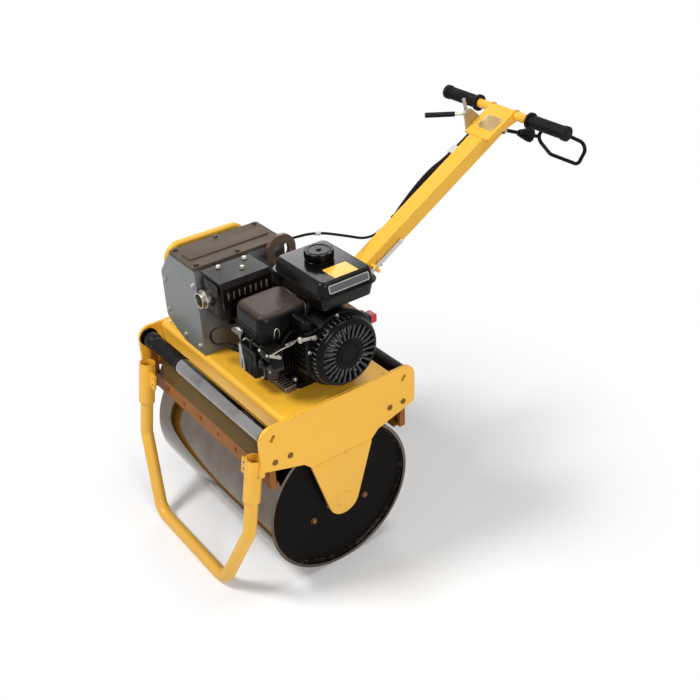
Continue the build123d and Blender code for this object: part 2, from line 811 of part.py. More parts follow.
lid_thickness = 9.0
lid_corner = 6.0
lid_left = guard_left + guard_slope
lid_right = guard_right - guard_edge
with BuildPart() as guard_lid:
    with BuildSketch(Plane.XY.offset(guard_top)) as lid_plate:
        with Locations(((lid_left + lid_right) / 2, (guard_front + guard_rear) / 2)):
            Rectangle(lid_right - lid_left, guard_rear - guard_front)
        fillet(lid_plate.vertices(), lid_corner)
    extrude(amount=lid_thickness)
save(guard_lid, "guard_lid")

pump_left = guard_left + guard_skirt + 3 * guard_sheet
pump_width = guard_right - guard_sheet - pump_side_gap - pump_left
with BuildPart() as drive_pump:
    with BuildSketch(Plane.XY.offset(deck_height)):
        with Locations((pump_left, guard_front + guard_sheet + pump_gap)):
            Rectangle(pump_width, pump_length, align=(Align.MIN, Align.MIN))
    extrude(amount=pump_height)
save(drive_pump, "drive_pump")

clutch_radius = 36.0
with BuildPart() as clutch_housing:
    with BuildSketch(Plane.YZ.offset(guard_right)):
        with Locations((crank_y, crank_z)):
            Circle(clutch_radius)
    extrude(amount=case_left - guard_right)
save(clutch_housing, "clutch_housing")

hoop_x = guard_left - hoop_gap - hoop_tube / 2
hoop_z = deck_height + hoop_height
hoop_front_inset = 30.0
hoop_rear_inset = 6.0
hoop_bend = 36.0
hoop_wall = 2.0
hoop_front = guard_front + hoop_front_inset
hoop_rear = guard_rear - hoop_rear_inset
with BuildPart() as guard_hoop:
    with BuildLine(Plane.YZ.offset(hoop_x)) as hoop_line:
        FilletPolyline(
            (hoop_front, deck_height),
            (hoop_front, hoop_z),
            (hoop_rear, hoop_z),
            (hoop_rear, deck_height),
            radius=hoop_bend,
        )
    with BuildSketch(Plane.XY.offset(deck_height)):
        with Locations((hoop_x, hoop_front)):
            Circle(hoop_tube / 2)
            Circle(hoop_tube / 2 - hoop_wall, mode=Mode.SUBTRACT)
    sweep()
save(guard_hoop, "guard_hoop")

# Lifting eye: one cut plate standing on the deck between the guard and the engine
eye_y = deck_length / 2 - eye_inset
eye_top = deck_height + eye_height
eye_x = guard_right + eye_gap
eye_post = 48.0
eye_shoulder = 24.0
eye_hole_drop = 2.0
with BuildPart() as lifting_eye:
    with BuildSketch(Plane.YZ.offset(eye_x)):
        with Locations((eye_y, eye_top - eye_radius)):
            Circle(eye_radius)
        with Locations((eye_y, eye_top - eye_radius - eye_shoulder / 2)):
            Rectangle(2 * eye_radius, eye_shoulder)
        with Locations((eye_y + eye_radius - eye_post / 2, deck_height)):
            Rectangle(eye_post, eye_height - eye_radius, align=(Align.CENTER, Align.MIN))
        with Locations((eye_y, eye_top - eye_radius - eye_hole_drop)):
            Circle(eye_hole / 2, mode=Mode.SUBTRACT)
    extrude(amount=eye_thickness)
save(lifting_eye, "lifting_eye")

# Drawbar bracket with its pivot pin
drawbar_pivot_y = deck_length / 2 + pivot_reach
pivot_z = deck_height + drawbar_pivot_rise
angle = radians(drawbar_angle)
bar_plane = Plane(
    origin=(0, drawbar_pivot_y, pivot_z),
    x_dir=(0, cos(angle), sin(angle)),
    z_dir=(1, 0, 0),
)
bracket_length = 62.0
bracket_base = 8.0
stop_place = 20.0
stop_width = 12.0
stop_height = 8.0
bracket_rear = deck_length / 2 - deck_bend
bracket_front = bracket_rear - bracket_length
cheek_radius = 26.0
with BuildPart() as drawbar_bracket:
    for cheek_start in (cheek_inner, -cheek_outer):
        with BuildSketch(Plane.YZ.offset(cheek_start)):
            with Locations((drawbar_pivot_y, pivot_z)):
                Circle(cheek_radius)
            with Locations(((bracket_front + bracket_rear) / 2, deck_height + bracket_base / 2)):
                Rectangle(bracket_length, bracket_base)
            make_hull()
            with Locations((drawbar_pivot_y, pivot_z)):
                Circle(pivot_pin_diameter / 2, mode=Mode.SUBTRACT)
        extrude(amount=cheek_thickness)
    with BuildSketch(Plane.XY.offset(deck_height)):
        with Locations((0, (bracket_front + bracket_rear) / 2)):
            Rectangle(2 * cheek_inner, bracket_length)
    extrude(amount=bracket_base)
    with BuildSketch(bar_plane.offset(-cheek_inner)):
        with Locations((stop_place, -drawbar_depth / 2 - pin_gap)):
            Rectangle(stop_width, stop_height, align=(Align.CENTER, Align.MAX))
    extrude(amount=2 * cheek_inner)
save(drawbar_bracket, "drawbar_bracket")

pin_head = 8.0
pin_flange = 5.0
pin_sink = 1.0
pin_end = cheek_outer + pin_head - pin_sink
with BuildPart() as pivot_pin:
    with BuildSketch(Plane.YZ.offset(-pin_end)):
        with Locations((drawbar_pivot_y, pivot_z)):
            Circle(pivot_pin_diameter / 2)
    extrude(amount=2 * pin_end)
    for pin_head_start in (-cheek_outer - pin_head, cheek_outer):
        with BuildSketch(Plane.YZ.offset(pin_head_start)):
            with Locations((drawbar_pivot_y, pivot_z)):
                Circle(pivot_pin_diameter / 2 + pin_flange)
        extrude(amount=pin_head)
save(pivot_pin, "pivot_pin")

# Drawbar: a closed rectangular tube
half_width = drawbar_width / 2
half_depth = drawbar_depth / 2
with BuildPart() as drawbar_tube:
    with BuildSketch(bar_plane.offset(-half_width)):
        with Locations((drawbar_length / 2, 0)):
            Rectangle(drawbar_length, drawbar_depth)
        Circle(half_depth)
    extrude(amount=drawbar_width)
    with BuildSketch(bar_plane.offset(-half_width + drawbar_wall)):
        with Locations(((drawbar_length + half_depth) / 2, 0)):
            Rectangle(drawbar_length - half_depth, drawbar_depth - 2 * drawbar_wall)
    extrude(amount=drawbar_width - 2 * drawbar_wall, mode=Mode.SUBTRACT)
    with BuildSketch(bar_plane.offset(-half_width)):
        Circle(pivot_pin_diameter / 2 + pin_gap)
    extrude(amount=drawbar_width, mode=Mode.SUBTRACT)
save(drawbar_tube, "drawbar_tube")

# Control head: a folded cap over the drawbar's end that holds the handlebar
head_lap = 78.0
head_reach = 30.0
cheek_foot = 40.0
cheek_depth = 8.0
head_start = drawbar_length - head_lap
bar_center = drawbar_length + head_reach
cheek_round = 16.0
head_half = head_width / 2
with BuildPart() as control_head:
    with BuildSketch(bar_plane.offset(-head_half)):
        with Locations(((head_start + bar_center) / 2, half_depth + head_sheet / 2)):
            Rectangle(bar_center - head_start, head_sheet)
    extrude(amount=head_width)
    for cheek_start in (-head_half, head_half - head_sheet):
        with BuildSketch(bar_plane.offset(cheek_start)):
            with Locations((bar_center, half_depth + head_sheet - cheek_round)):
                Circle(cheek_round)
            with Locations((head_start + cheek_foot / 2, half_depth + head_sheet - cheek_depth / 2)):
                Rectangle(cheek_foot, cheek_depth)
            make_hull()
            with Locations((bar_center, half_depth + head_sheet - cheek_round)):
                Circle(handlebar_diameter / 2 + pin_gap, mode=Mode.SUBTRACT)
        extrude(amount=head_sheet)
save(control_head, "control_head")

handlebar_wall = 2.0
bar_axis_t = half_depth + head_sheet - cheek_round
with BuildPart() as handlebar:
    with BuildSketch(bar_plane.offset(-handlebar_length / 2)):
        with Locations((bar_center, bar_axis_t)):
            Circle(handlebar_diameter / 2)
            Circle(handlebar_diameter / 2 - handlebar_wall, mode=Mode.SUBTRACT)
    extrude(amount=handlebar_length)
save(handlebar, "handlebar")

grip_overhang = 5.0
grip_collar = 7.0
grip_collar_lip = 6.0
grip_knob = 12.0
grip_knob_lip = 3.0
grip_tip = handlebar_length / 2 + grip_overhang
with BuildPart() as handle_grips:
    for side_name, side in sides:
        grip_from = side * (grip_tip - handle_grip_length)
        with BuildSketch(bar_plane.offset(grip_from)):
            with Locations((bar_center, bar_axis_t)):
                Circle(handle_grip_diameter / 2)
        extrude(amount=side * handle_grip_length)
        with BuildSketch(bar_plane.offset(grip_from)):
            with Locations((bar_center, bar_axis_t)):
                Circle(handle_grip_diameter / 2 + grip_collar_lip)
        extrude(amount=side * grip_collar)
        with BuildSketch(bar_plane.offset(side * (grip_tip - grip_knob))):
            with Locations((bar_center, bar_axis_t)):
                Circle(handle_grip_diameter / 2 + grip_knob_lip)
        extrude(amount=side * grip_knob)
    with BuildSketch(bar_plane.offset(-handlebar_length / 2)):
        with Locations((bar_center, bar_axis_t)):
            Circle(handlebar_diameter / 2 + pin_gap)
    extrude(amount=handlebar_length, mode=Mode.SUBTRACT)
save(handle_grips, "handle_grips")

# Travel control: a closed hand loop on a stem under the head, with a rubber boot
stem_inset = 14.0
loop_reach = 104.0
loop_drop = 36.0
loop_bend = 20.0
stem_inlet = 15.0
stem_s = drawbar_length - stem_inset
stem_t = -8.0
stem_boss = 10.0
stem_start = bar_plane.from_local_coords((stem_s, stem_t, half_width + stem_boss / 2))
loop_y = stem_start.Y + loop_reach
loop_z = stem_start.Z - loop_drop
loop_x = 142.0
loop_half_width = 94.0
loop_half_height = 37.0
stem_end = (loop_x - loop_half_width + stem_inlet, loop_y, loop_z)
with BuildPart() as travel_loop:
    with BuildLine():
        FilletPolyline(
            (loop_x - loop_half_width, loop_y, loop_z),
            (loop_x - loop_half_width * 0.45, loop_y, loop_z + loop_half_height),
            (loop_x + loop_half_width, loop_y, loop_z + loop_half_height * 0.7),
            (loop_x + loop_half_width * 0.7, loop_y, loop_z - loop_half_height),
            (loop_x - loop_half_width * 0.35, loop_y, loop_z - loop_half_height),
            radius=loop_bend,
            close=True,
        )
    with BuildSketch(Plane((loop_x + loop_bend, loop_y, loop_z - loop_half_height), z_dir=(1, 0, 0))):
        Circle(loop_rod / 2)
    sweep()
    with BuildLine() as stem_line:
        Line(stem_start, stem_end)
    with BuildSketch(Plane(stem_line.line @ 0, z_dir=stem_line.line % 0)):
        Circle(loop_rod / 2)
    sweep(path=stem_line.line)
    with BuildSketch(bar_plane.offset(half_width)):
        with Locations((stem_s, stem_t)):
            Circle(loop_rod)
    extrude(amount=stem_boss)
save(travel_loop, "travel_loop")

stem_path = Vector(*stem_end) - stem_start
boot_place = 0.42
boot_neck = 9.0
boot_radius = 19.0
boot_length = 34.0
boot_rim = 8.0
boot_plane = Plane(stem_start + stem_path * boot_place, z_dir=stem_path)
with BuildPart() as travel_boot:
    with BuildSketch(boot_plane):
        Circle(boot_neck)
    with BuildSketch(boot_plane.offset(boot_length)):
        Circle(boot_radius)
    loft()
    with BuildSketch(boot_plane.offset(boot_length)):
        Circle(boot_radius)
    extrude(amount=boot_rim)
    with BuildSketch(boot_plane):
        Circle(loop_rod / 2 + pin_gap)
    extrude(amount=boot_length + boot_rim, mode=Mode.SUBTRACT)
save(travel_boot, "travel_boot")

# Vibration lever on a quadrant at the left of the head, with a long black sleeve
quadrant_place = 34.0
quadrant_rise = 32.0
quadrant_sheet = 4.0
quadrant_radius = 16.0
quadrant_foot = 54.0
quadrant_foot_height = 12.0
quadrant_s = head_start + quadrant_place
quadrant_t = half_depth + quadrant_rise
quadrant_x = -head_half - quadrant_sheet
with BuildPart() as quadrant:
    with BuildSketch(bar_plane.offset(quadrant_x)):
        with Locations((quadrant_s, quadrant_t)):
            Circle(quadrant_radius)
        with Locations((quadrant_s, half_depth - quadrant_foot_height / 3)):
            Rectangle(quadrant_foot, quadrant_foot_height)
        make_hull()
    extrude(amount=quadrant_sheet)
save(quadrant, "quadrant")

lever_boss = 10.0
lever_boss_radius = 9.0
lever_rod = 8.0
lever_inset = 2.0
thumb_length = 42.0
thumb_width = 9.0
thumb_sheet = 4.0
sleeve_gap_root = 34.0
sleeve_radius = 7.0
sleeve_cap = 5.0
lever_root = bar_plane.from_local_coords((quadrant_s, quadrant_t, quadrant_x - lever_boss / 2))
lever_tip = lever_root + Vector(-54.0, -96.0, 4.0)
lever_way = (lever_tip - lever_root).normalized()
lever_length = (lever_tip - lever_root).length
with BuildPart() as hand_lever:
    with BuildSketch(bar_plane.offset(quadrant_x)):
        with Locations((quadrant_s, quadrant_t)):
            Circle(lever_boss_radius)
    extrude(amount=-lever_boss)
    with BuildSketch(Plane(lever_root, z_dir=lever_way)):
        Circle(lever_rod / 2)
    extrude(amount=lever_length - lever_inset)
    with BuildSketch(Plane(lever_root, z_dir=(-0.2, -0.15, 1.0))):
        Rectangle(thumb_sheet, thumb_width)
    extrude(amount=thumb_length)
save(hand_lever, "hand_lever")

sleeve_root = lever_root + lever_way * sleeve_gap_root
hand_sleeve_length = lever_length - sleeve_gap_root + 2 * lever_inset
with BuildPart() as lever_sleeve:
    with BuildSketch(Plane(sleeve_root, z_dir=lever_way)):
        Circle(sleeve_radius)
    extrude(amount=hand_sleeve_length)
    with BuildSketch(Plane(sleeve_root, z_dir=lever_way)):
        Circle(lever_rod / 2 + pin_gap)
    extrude(amount=hand_sleeve_length - sleeve_cap, mode=Mode.SUBTRACT)
save(lever_sleeve, "lever_sleeve")

# Control cables down the drawbar's left side, through a white clamp
cable_radius = 4.0
cable_gap = 5.0
cable_lap = 24.0
cable_tuck = 44.0
cable_pitch = 11.0
cable_first = 2.0
clamp_drop = 62.0
clamp_length = 26.0
clamp_width = 25.0
clamp_height = 18.0
cable_x = -half_width - cable_gap - cable_radius
cable_top = head_start + cable_lap
cable_low = 350.0
cable_end = cable_low - cable_tuck
cable_middle = cable_first + cable_pitch / 2
clamp_start = head_start - clamp_drop
with BuildPart() as control_cables:
    for cable_t in (cable_first, cable_first + cable_pitch):
        with BuildLine(bar_plane) as cable_path:
            FilletPolyline(
                (cable_top, cable_t, cable_x),
                (clamp_start - 20.0, cable_t, cable_x),
                (clamp_start - 90.0, cable_t + 6.0, cable_x - 12.0),
                (cable_low, cable_t, cable_x - 4.0),
                (cable_end, cable_t, -half_width),
                radius=60.0,
            )
        with BuildSketch(Plane(cable_path.line @ 0, z_dir=cable_path.line % 0)):
            Circle(cable_radius)
        sweep(path=cable_path.line)
    with BuildSketch(bar_plane.offset(-half_width)):
        with Locations((cable_end, cable_middle)):
            Rectangle(40.0, 24.0)
    extrude(amount=20.0, mode=Mode.SUBTRACT)
save(control_cables, "control_cables")

with BuildPart() as cable_clamp:
    with BuildSketch(bar_plane.offset(-half_width - clamp_height)):
        with Locations((clamp_start, cable_middle)):
            Rectangle(clamp_length, clamp_width)
    extrude(amount=clamp_height)
    with BuildSketch(Plane(bar_plane.from_local_coords((clamp_start - 20.0, 0, 0)), x_dir=(1, 0, 0),
                           z_dir=bar_plane.x_dir)):
        with Locations((cable_x, -cable_first), (cable_x, -cable_first - cable_pitch)):
            Circle(cable_radius + pin_gap)
    extrude(amount=40.0, mode=Mode.SUBTRACT)
save(cable_clamp, "cable_clamp")

# Drawbar lock: a bright rod along the right side of the drawbar in two lugs
lock_gap = 7.5
lug_inset = 12.0
lug_pitch = 60.0
lug_thickness = 8.0
lug_height = 22.0
lug_rim = 5.0
lock_diameter = 11.0
lock_x = half_width + lock_gap + lock_diameter / 2
lock_from = 96.0
lock_to = 268.0
lock_t = -4.0
with BuildPart() as lock_rod:
    with BuildSketch(Plane(bar_plane.from_local_coords((lock_from, lock_t, lock_x)), z_dir=bar_plane.x_dir)):
        Circle(lock_diameter / 2)
    extrude(amount=lock_to - lock_from)
save(lock_rod, "lock_rod")

with BuildPart() as lock_lugs:
    for lug_s in (lock_from + lug_inset, lock_from + lug_inset + lug_pitch):
        with BuildSketch(bar_plane.offset(half_width)):
            with Locations((lug_s, lock_t)):
                Rectangle(lug_thickness, lug_height)
        extrude(amount=lock_x - half_width + lock_diameter / 2 + lug_rim)
    with BuildSketch(Plane(bar_plane.from_local_coords((lock_from, lock_t, lock_x)), z_dir=bar_plane.x_dir)):
        Circle(lock_diameter / 2 + pin_gap)
    extrude(amount=lock_to - lock_from, mode=Mode.SUBTRACT)
save(lock_lugs, "lock_lugs")

# Throttle cable from the guard's rear wall to a clip on the drawbar's left side
throttle_radius = 3.5
throttle_gap = 1.0
throttle_run = 40.0
throttle_inset = 16.0
throttle_drop = 8.0
throttle_stop = cable_end - cable_tuck
throttle_x = -half_width - throttle_radius - throttle_gap
throttle_clip = bar_plane.from_local_coords((throttle_stop - throttle_run, 16.0, throttle_x))
throttle_end = bar_plane.from_local_coords((throttle_stop, 12.0, throttle_x))
throttle_x_out = guard_right - throttle_inset
throttle_z_out = guard_top - throttle_drop
with BuildPart() as throttle_cable:
    with BuildLine() as throttle_path:
        FilletPolyline(
            (throttle_x_out, guard_rear, throttle_z_out),
            (throttle_x_out, guard_rear + 34.0, throttle_z_out),
            (throttle_x - 14.0, guard_rear + 86.0, throttle_z_out + 12.0),
            (throttle_x - 3.0, guard_rear + 164.0, throttle_z_out - 18.0),
            throttle_clip,
            throttle_end,
            radius=42.0,
        )
    with BuildSketch(Plane(throttle_path.line @ 0, z_dir=throttle_path.line % 0)):
        Circle(throttle_radius)
    sweep()
save(throttle_cable, "throttle_cable")
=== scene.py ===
"""Walk-behind single-drum roller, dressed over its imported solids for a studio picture.

Sizes are in millimetres in the solids' own frame: X along the axle, -Y forward and Z up.
Stock.place turns them to metres.
"""

import json
import logging
from dataclasses import dataclass, field
from enum import Enum
from math import cos, hypot, pi, radians, sin
from typing import Any, NamedTuple, Sequence

import bmesh
import bpy
from mathutils import Matrix, Vector

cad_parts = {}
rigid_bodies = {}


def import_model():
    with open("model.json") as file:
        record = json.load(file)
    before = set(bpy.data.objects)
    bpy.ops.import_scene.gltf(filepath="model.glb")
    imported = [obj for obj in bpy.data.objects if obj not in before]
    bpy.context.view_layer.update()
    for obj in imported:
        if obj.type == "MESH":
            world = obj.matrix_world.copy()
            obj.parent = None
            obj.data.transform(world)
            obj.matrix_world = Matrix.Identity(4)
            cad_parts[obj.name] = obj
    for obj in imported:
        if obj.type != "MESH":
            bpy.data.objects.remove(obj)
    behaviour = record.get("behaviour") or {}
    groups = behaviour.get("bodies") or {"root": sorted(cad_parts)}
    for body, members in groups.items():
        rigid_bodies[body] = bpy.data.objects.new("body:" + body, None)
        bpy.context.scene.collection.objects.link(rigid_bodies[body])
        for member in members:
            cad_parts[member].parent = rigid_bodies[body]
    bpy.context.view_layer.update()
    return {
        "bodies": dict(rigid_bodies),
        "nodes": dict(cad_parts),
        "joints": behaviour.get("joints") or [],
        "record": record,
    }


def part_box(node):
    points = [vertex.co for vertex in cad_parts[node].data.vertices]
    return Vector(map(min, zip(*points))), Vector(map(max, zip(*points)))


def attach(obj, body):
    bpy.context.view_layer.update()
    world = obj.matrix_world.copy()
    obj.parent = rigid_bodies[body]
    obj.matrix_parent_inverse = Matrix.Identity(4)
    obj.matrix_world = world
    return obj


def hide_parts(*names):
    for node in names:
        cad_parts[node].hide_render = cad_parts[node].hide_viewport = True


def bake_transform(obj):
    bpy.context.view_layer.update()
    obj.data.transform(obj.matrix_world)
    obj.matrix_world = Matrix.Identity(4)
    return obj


LOG = logging.getLogger("roller")
MM = 0.001
Pair = tuple[float, float]
Spot = Sequence[float]
Socket = bpy.types.NodeSocket
Look = tuple[Socket, Socket, Socket]


class Point(NamedTuple):
    """A place or a direction by its coordinates."""

    x: float
    y: float
    z: float


LEFT, RIGHT = Point(1, 0, 0), Point(-1, 0, 0)
FRONT, REAR = Point(0, -1, 0), Point(0, 1, 0)
UP = Point(0, 0, 1)
SIDES = (("left", 1), ("right", -1))
ENDS = (("front", -1), ("rear", 1))


class Body(Enum):
    """The bodies that the pieces ride on."""

    CHASSIS = "chassis"
    DRUM = "drum"
    DRAWBAR = "drawbar"


def linear(hex_code: str) -> tuple[float, float, float, float]:
    """Turn an sRGB hex colour to linear light.

    Args:
        hex_code: Colour as "#RRGGBB".

    Returns:
        Linear red, green, blue and an alpha of 1.
    """
    channels = [int(hex_code[i : i + 2], 16) / 255 for i in (1, 3, 5)]
    red, green, blue = (c / 12.92 if c <= 0.04045 else ((c + 0.055) / 1.055) ** 2.4 for c in channels)
    return red, green, blue, 1.0


def per_mm(size: float) -> float:
    """Pattern scale, for coordinates in metres, that repeats every `size` millimetres."""
    return 1000.0 / size


class Graph:
    """The node tree of one material or world."""

    def __init__(self, tree: bpy.types.NodeTree) -> None:
        """Take a tree over and empty it."""
        self.tree = tree
        tree.nodes.clear()

    def add(self, kind: str, links: dict[int | str, Socket] | None = None,
            values: dict[int | str, Any] | None = None, **settings: Any) -> bpy.types.Node:
        """Add one node.

        Args:
            kind: Blender's node type.
            links: Input socket to the output that feeds it.
            values: Input socket to its constant.
            **settings: The node's own properties.

        Returns:
            The new node.
        """
        node = self.tree.nodes.new(kind)
        for key, value in settings.items():
            setattr(node, key, value)
        for key, value in (values or {}).items():
            node.inputs[key].default_value = value
        for key, source in (links or {}).items():
            self.tree.links.new(source, node.inputs[key])
        return node


@dataclass(frozen=True)
class Finish:
    """A surface: its colours, gloss and grain. Subclasses say how it was made.

    Attributes:
        name: The real material and how its surface was made.
        colour: Main colour, sRGB hex.
        drift: Colour that it drifts to in soft patches.
        roughness: Middle roughness.
        spread: How far the roughness wanders each way.
        patch: Size of the soft patches in mm.
        grain: Size of the surface grain in mm.
        relief: Depth of the grain in mm.
        edge: Radius of the softened edges in mm.
        shine: Specular level; 0.5 is a bare dielectric, less is a dull or dusty skin.
    """

    name: str
    colour: str
    drift: str
    roughness: float
    spread: float = 0.06
    patch: float = 90.0
    grain: float = 3.0
    relief: float = 0.02
    edge: float = 1.2
    shine: float = 0.5

    def shader(self) -> dict[str, Any]:
        """Constants of the shader, by socket name."""
        return {"IOR": 1.5, "Specular IOR Level": self.shine}

    def pattern(self, graph: Graph, spot: Socket) -> Look:
        """Colour, roughness and height of the surface.

        Args:
            graph: The material's nodes.
            spot: Coordinates in metres.

        Returns:
            Three output sockets.
        """
        cloud = graph.add("ShaderNodeTexNoise", {"Vector": spot},
                          {"Scale": per_mm(self.patch), "Detail": 5.0, "Roughness": 0.6})
        tone = graph.add("ShaderNodeMix", {0: cloud.outputs["Fac"]},
                         {6: linear(self.colour), 7: linear(self.drift)}, data_type="RGBA")
        grain = graph.add("ShaderNodeTexNoise", {"Vector": spot},
                          {"Scale": per_mm(self.grain), "Detail": 3.0, "Roughness": 0.55})
        gloss = graph.add("ShaderNodeMapRange", {"Value": cloud.outputs["Fac"]},
                          {"From Min": 0.3, "From Max": 0.7, "To Min": self.roughness - self.spread,
                           "To Max": self.roughness + self.spread})
        return tone.outputs[2], gloss.outputs["Result"], grain.outputs["Fac"]

    def build(self) -> bpy.types.Material:
        """Make the material.

        Returns:
            The finished material.
        """
        material = bpy.data.materials.new(self.name)
        material.use_nodes = True
        graph = Graph(material.node_tree)
        spot = graph.add("ShaderNodeTexCoord").outputs["Object"]
        colour, gloss, height = self.pattern(graph, spot)
        soft_edge = graph.add("ShaderNodeBevel", None, {"Radius": self.edge * MM}, samples=4)
        bump = graph.add("ShaderNodeBump", {"Height": height, "Normal": soft_edge.outputs["Normal"]},
                         {"Strength": 1.0, "Distance": self.relief * MM})
        links = {"Base Color": colour, "Roughness": gloss, "Normal": bump.outputs["Normal"]}
        skin = graph.add("ShaderNodeBsdfPrincipled", links, self.shader())
        graph.add("ShaderNodeOutputMaterial", {"Surface": skin.outputs["BSDF"]})
        return material


@dataclass(frozen=True)
class Enamel(Finish):
    """Sprayed enamel on sheet steel: even and glossy, with chips along edges and dust low down.

    Attributes:
        chip: Colour that shows where an edge is worn.
        chipped: Share of the edges that is worn, 0 to 1.
        dust: Colour of the dust film.
        dust_from: Height in mm where the dust is thickest.
        dust_to: Height in mm where it ends.
        dusty: Strength of the dust, 0 to 1.
        coat: Weight of the clear top layer.
        rub: How far from an edge in mm the wear reaches.
        flake: Size of the chips in mm.
        haze: Size of the dust's patches in mm.
    """

    chip: str = "#6B5A45"
    chipped: float = 0.45
    dust: str = "#8F7F66"
    dust_from: float = 0.0
    dust_to: float = 420.0
    dusty: float = 0.35
    coat: float = 0.35
    rub: float = 3.0
    flake: float = 14.0
    haze: float = 45.0

    def shader(self) -> dict[str, Any]:
        """Constants of a coated, non-metal paint film."""
        return {**super().shader(), "Coat Weight": self.coat, "Coat Roughness": 0.12}

    def pattern(self, graph: Graph, spot: Socket) -> Look:
        """Even paint with chipped edges and dust, and the film's orange peel.

        Args:
            graph: The material's nodes.
            spot: Coordinates in metres.

        Returns:
            Colour, roughness and height.
        """
        tone, gloss, peel = super().pattern(graph, spot)
        wide = graph.add("ShaderNodeBevel", None, {"Radius": self.rub * MM}, samples=4)
        face = graph.add("ShaderNodeNewGeometry")
        bend = graph.add("ShaderNodeVectorMath", {0: wide.outputs["Normal"], 1: face.outputs["True Normal"]},
                         operation="DOT_PRODUCT")
        sharp = graph.add("ShaderNodeMapRange", {"Value": bend.outputs["Value"]},
                          {"From Min": 0.985, "From Max": 0.9, "To Min": 0.0, "To Max": 1.0})
        flake = graph.add("ShaderNodeTexNoise", {"Vector": spot},
                          {"Scale": per_mm(self.flake), "Detail": 6.0, "Roughness": 0.7})
        broken = graph.add("ShaderNodeMapRange", {"Value": flake.outputs["Fac"]},
                           {"From Min": 0.66 - 0.2 * self.chipped, "From Max": 0.70 - 0.2 * self.chipped,
                            "To Min": 0.0, "To Max": 1.0})
        worn = graph.add("ShaderNodeMath", {0: sharp.outputs["Result"], 1: broken.outputs["Result"]},
                         operation="MULTIPLY")
        chipped = graph.add("ShaderNodeMix", {0: worn.outputs["Value"], 6: tone}, {7: linear(self.chip)},
                            data_type="RGBA")
        axes = graph.add("ShaderNodeSeparateXYZ", {"Vector": spot})
        low = graph.add("ShaderNodeMapRange", {"Value": axes.outputs["Z"]},
                        {"From Min": self.dust_to * MM, "From Max": self.dust_from * MM, "To Min": 0.0,
                         "To Max": self.dusty})
        haze = graph.add("ShaderNodeTexNoise", {"Vector": spot},
                         {"Scale": per_mm(self.haze), "Detail": 7.0, "Roughness": 0.68})
        film = graph.add("ShaderNodeMath", {0: low.outputs["Result"], 1: haze.outputs["Fac"]},
                         operation="MULTIPLY")
        dusted = graph.add("ShaderNodeMix", {0: film.outputs["Value"], 6: chipped.outputs[2]},
                           {7: linear(self.dust)}, data_type="RGBA")
        dull = graph.add("ShaderNodeMath", {0: film.outputs["Value"], 2: gloss}, {1: 0.6},
                         operation="MULTIPLY_ADD")
        return dusted.outputs[2], dull.outputs["Value"], peel


@dataclass(frozen=True)
class Metal(Finish):
    """Bare metal with fine tool marks along one direction.

    Attributes:
        marks: Width of the marks in mm along X, Y and Z. The small one runs across them.
        cut: How strongly the marks change the roughness.
        stain_and_reflection: Colour of oxide stains; on the drum and the front bar it also paints
            reflections.
        stain_and_reflection_share: Share of the surface that the stains and painted reflections cover, 0 to
            1.
    """

    marks: Spot = (1.5, 160.0, 160.0)
    cut: float = 0.12
    stain_and_reflection: str = "#6A4A2C"
    stain_and_reflection_share: float = 0.3

    def shader(self) -> dict[str, Any]:
        """Constants of a metal."""
        return {"Metallic": 1.0}

    def pattern(self, graph: Graph, spot: Socket) -> Look:
        """Tool marks in the gloss and the height; oxide stains in the colour, which on the drum and the front
        bar also paint reflections.

        Args:
            graph: The material's nodes.
            spot: Coordinates in metres.

        Returns:
            Colour, roughness and height.
        """
        tone, gloss, _ = super().pattern(graph, spot)
        scale = tuple(per_mm(m) for m in self.marks)
        lay = graph.add("ShaderNodeMapping", {"Vector": spot}, {"Scale": scale}, vector_type="POINT")
        line = graph.add("ShaderNodeTexNoise", {"Vector": lay.outputs["Vector"]},
                         {"Scale": 1.0, "Detail": 4.0, "Roughness": 0.65})
        blot = graph.add("ShaderNodeTexNoise", {"Vector": spot},
                         {"Scale": per_mm(self.patch * 0.4), "Detail": 8.0, "Roughness": 0.7})
        # Blotches streaked along the marks: oxide stains, and on the drum and the front bar painted
        # reflections as well
        stain_and_reflection_mask = graph.add("ShaderNodeMapRange", {"Value": blot.outputs["Fac"]},
                         {"From Min": 0.72 - 0.3 * self.stain_and_reflection_share, "From Max": 0.86 - 0.2 * self.stain_and_reflection_share,
                          "To Min": 0.0, "To Max": 0.8})
        streaky = graph.add("ShaderNodeMath", {0: stain_and_reflection_mask.outputs["Result"], 1: line.outputs["Fac"]},
                            operation="MULTIPLY")
        stained_and_reflecting = graph.add("ShaderNodeMix", {0: streaky.outputs["Value"], 6: tone}, {7: linear(self.stain_and_reflection)},
                         data_type="RGBA")
        scored = graph.add("ShaderNodeMath", {0: line.outputs["Fac"], 2: gloss}, {1: self.cut},
                           operation="MULTIPLY_ADD")
        return stained_and_reflecting.outputs[2], scored.outputs["Value"], line.outputs["Fac"]


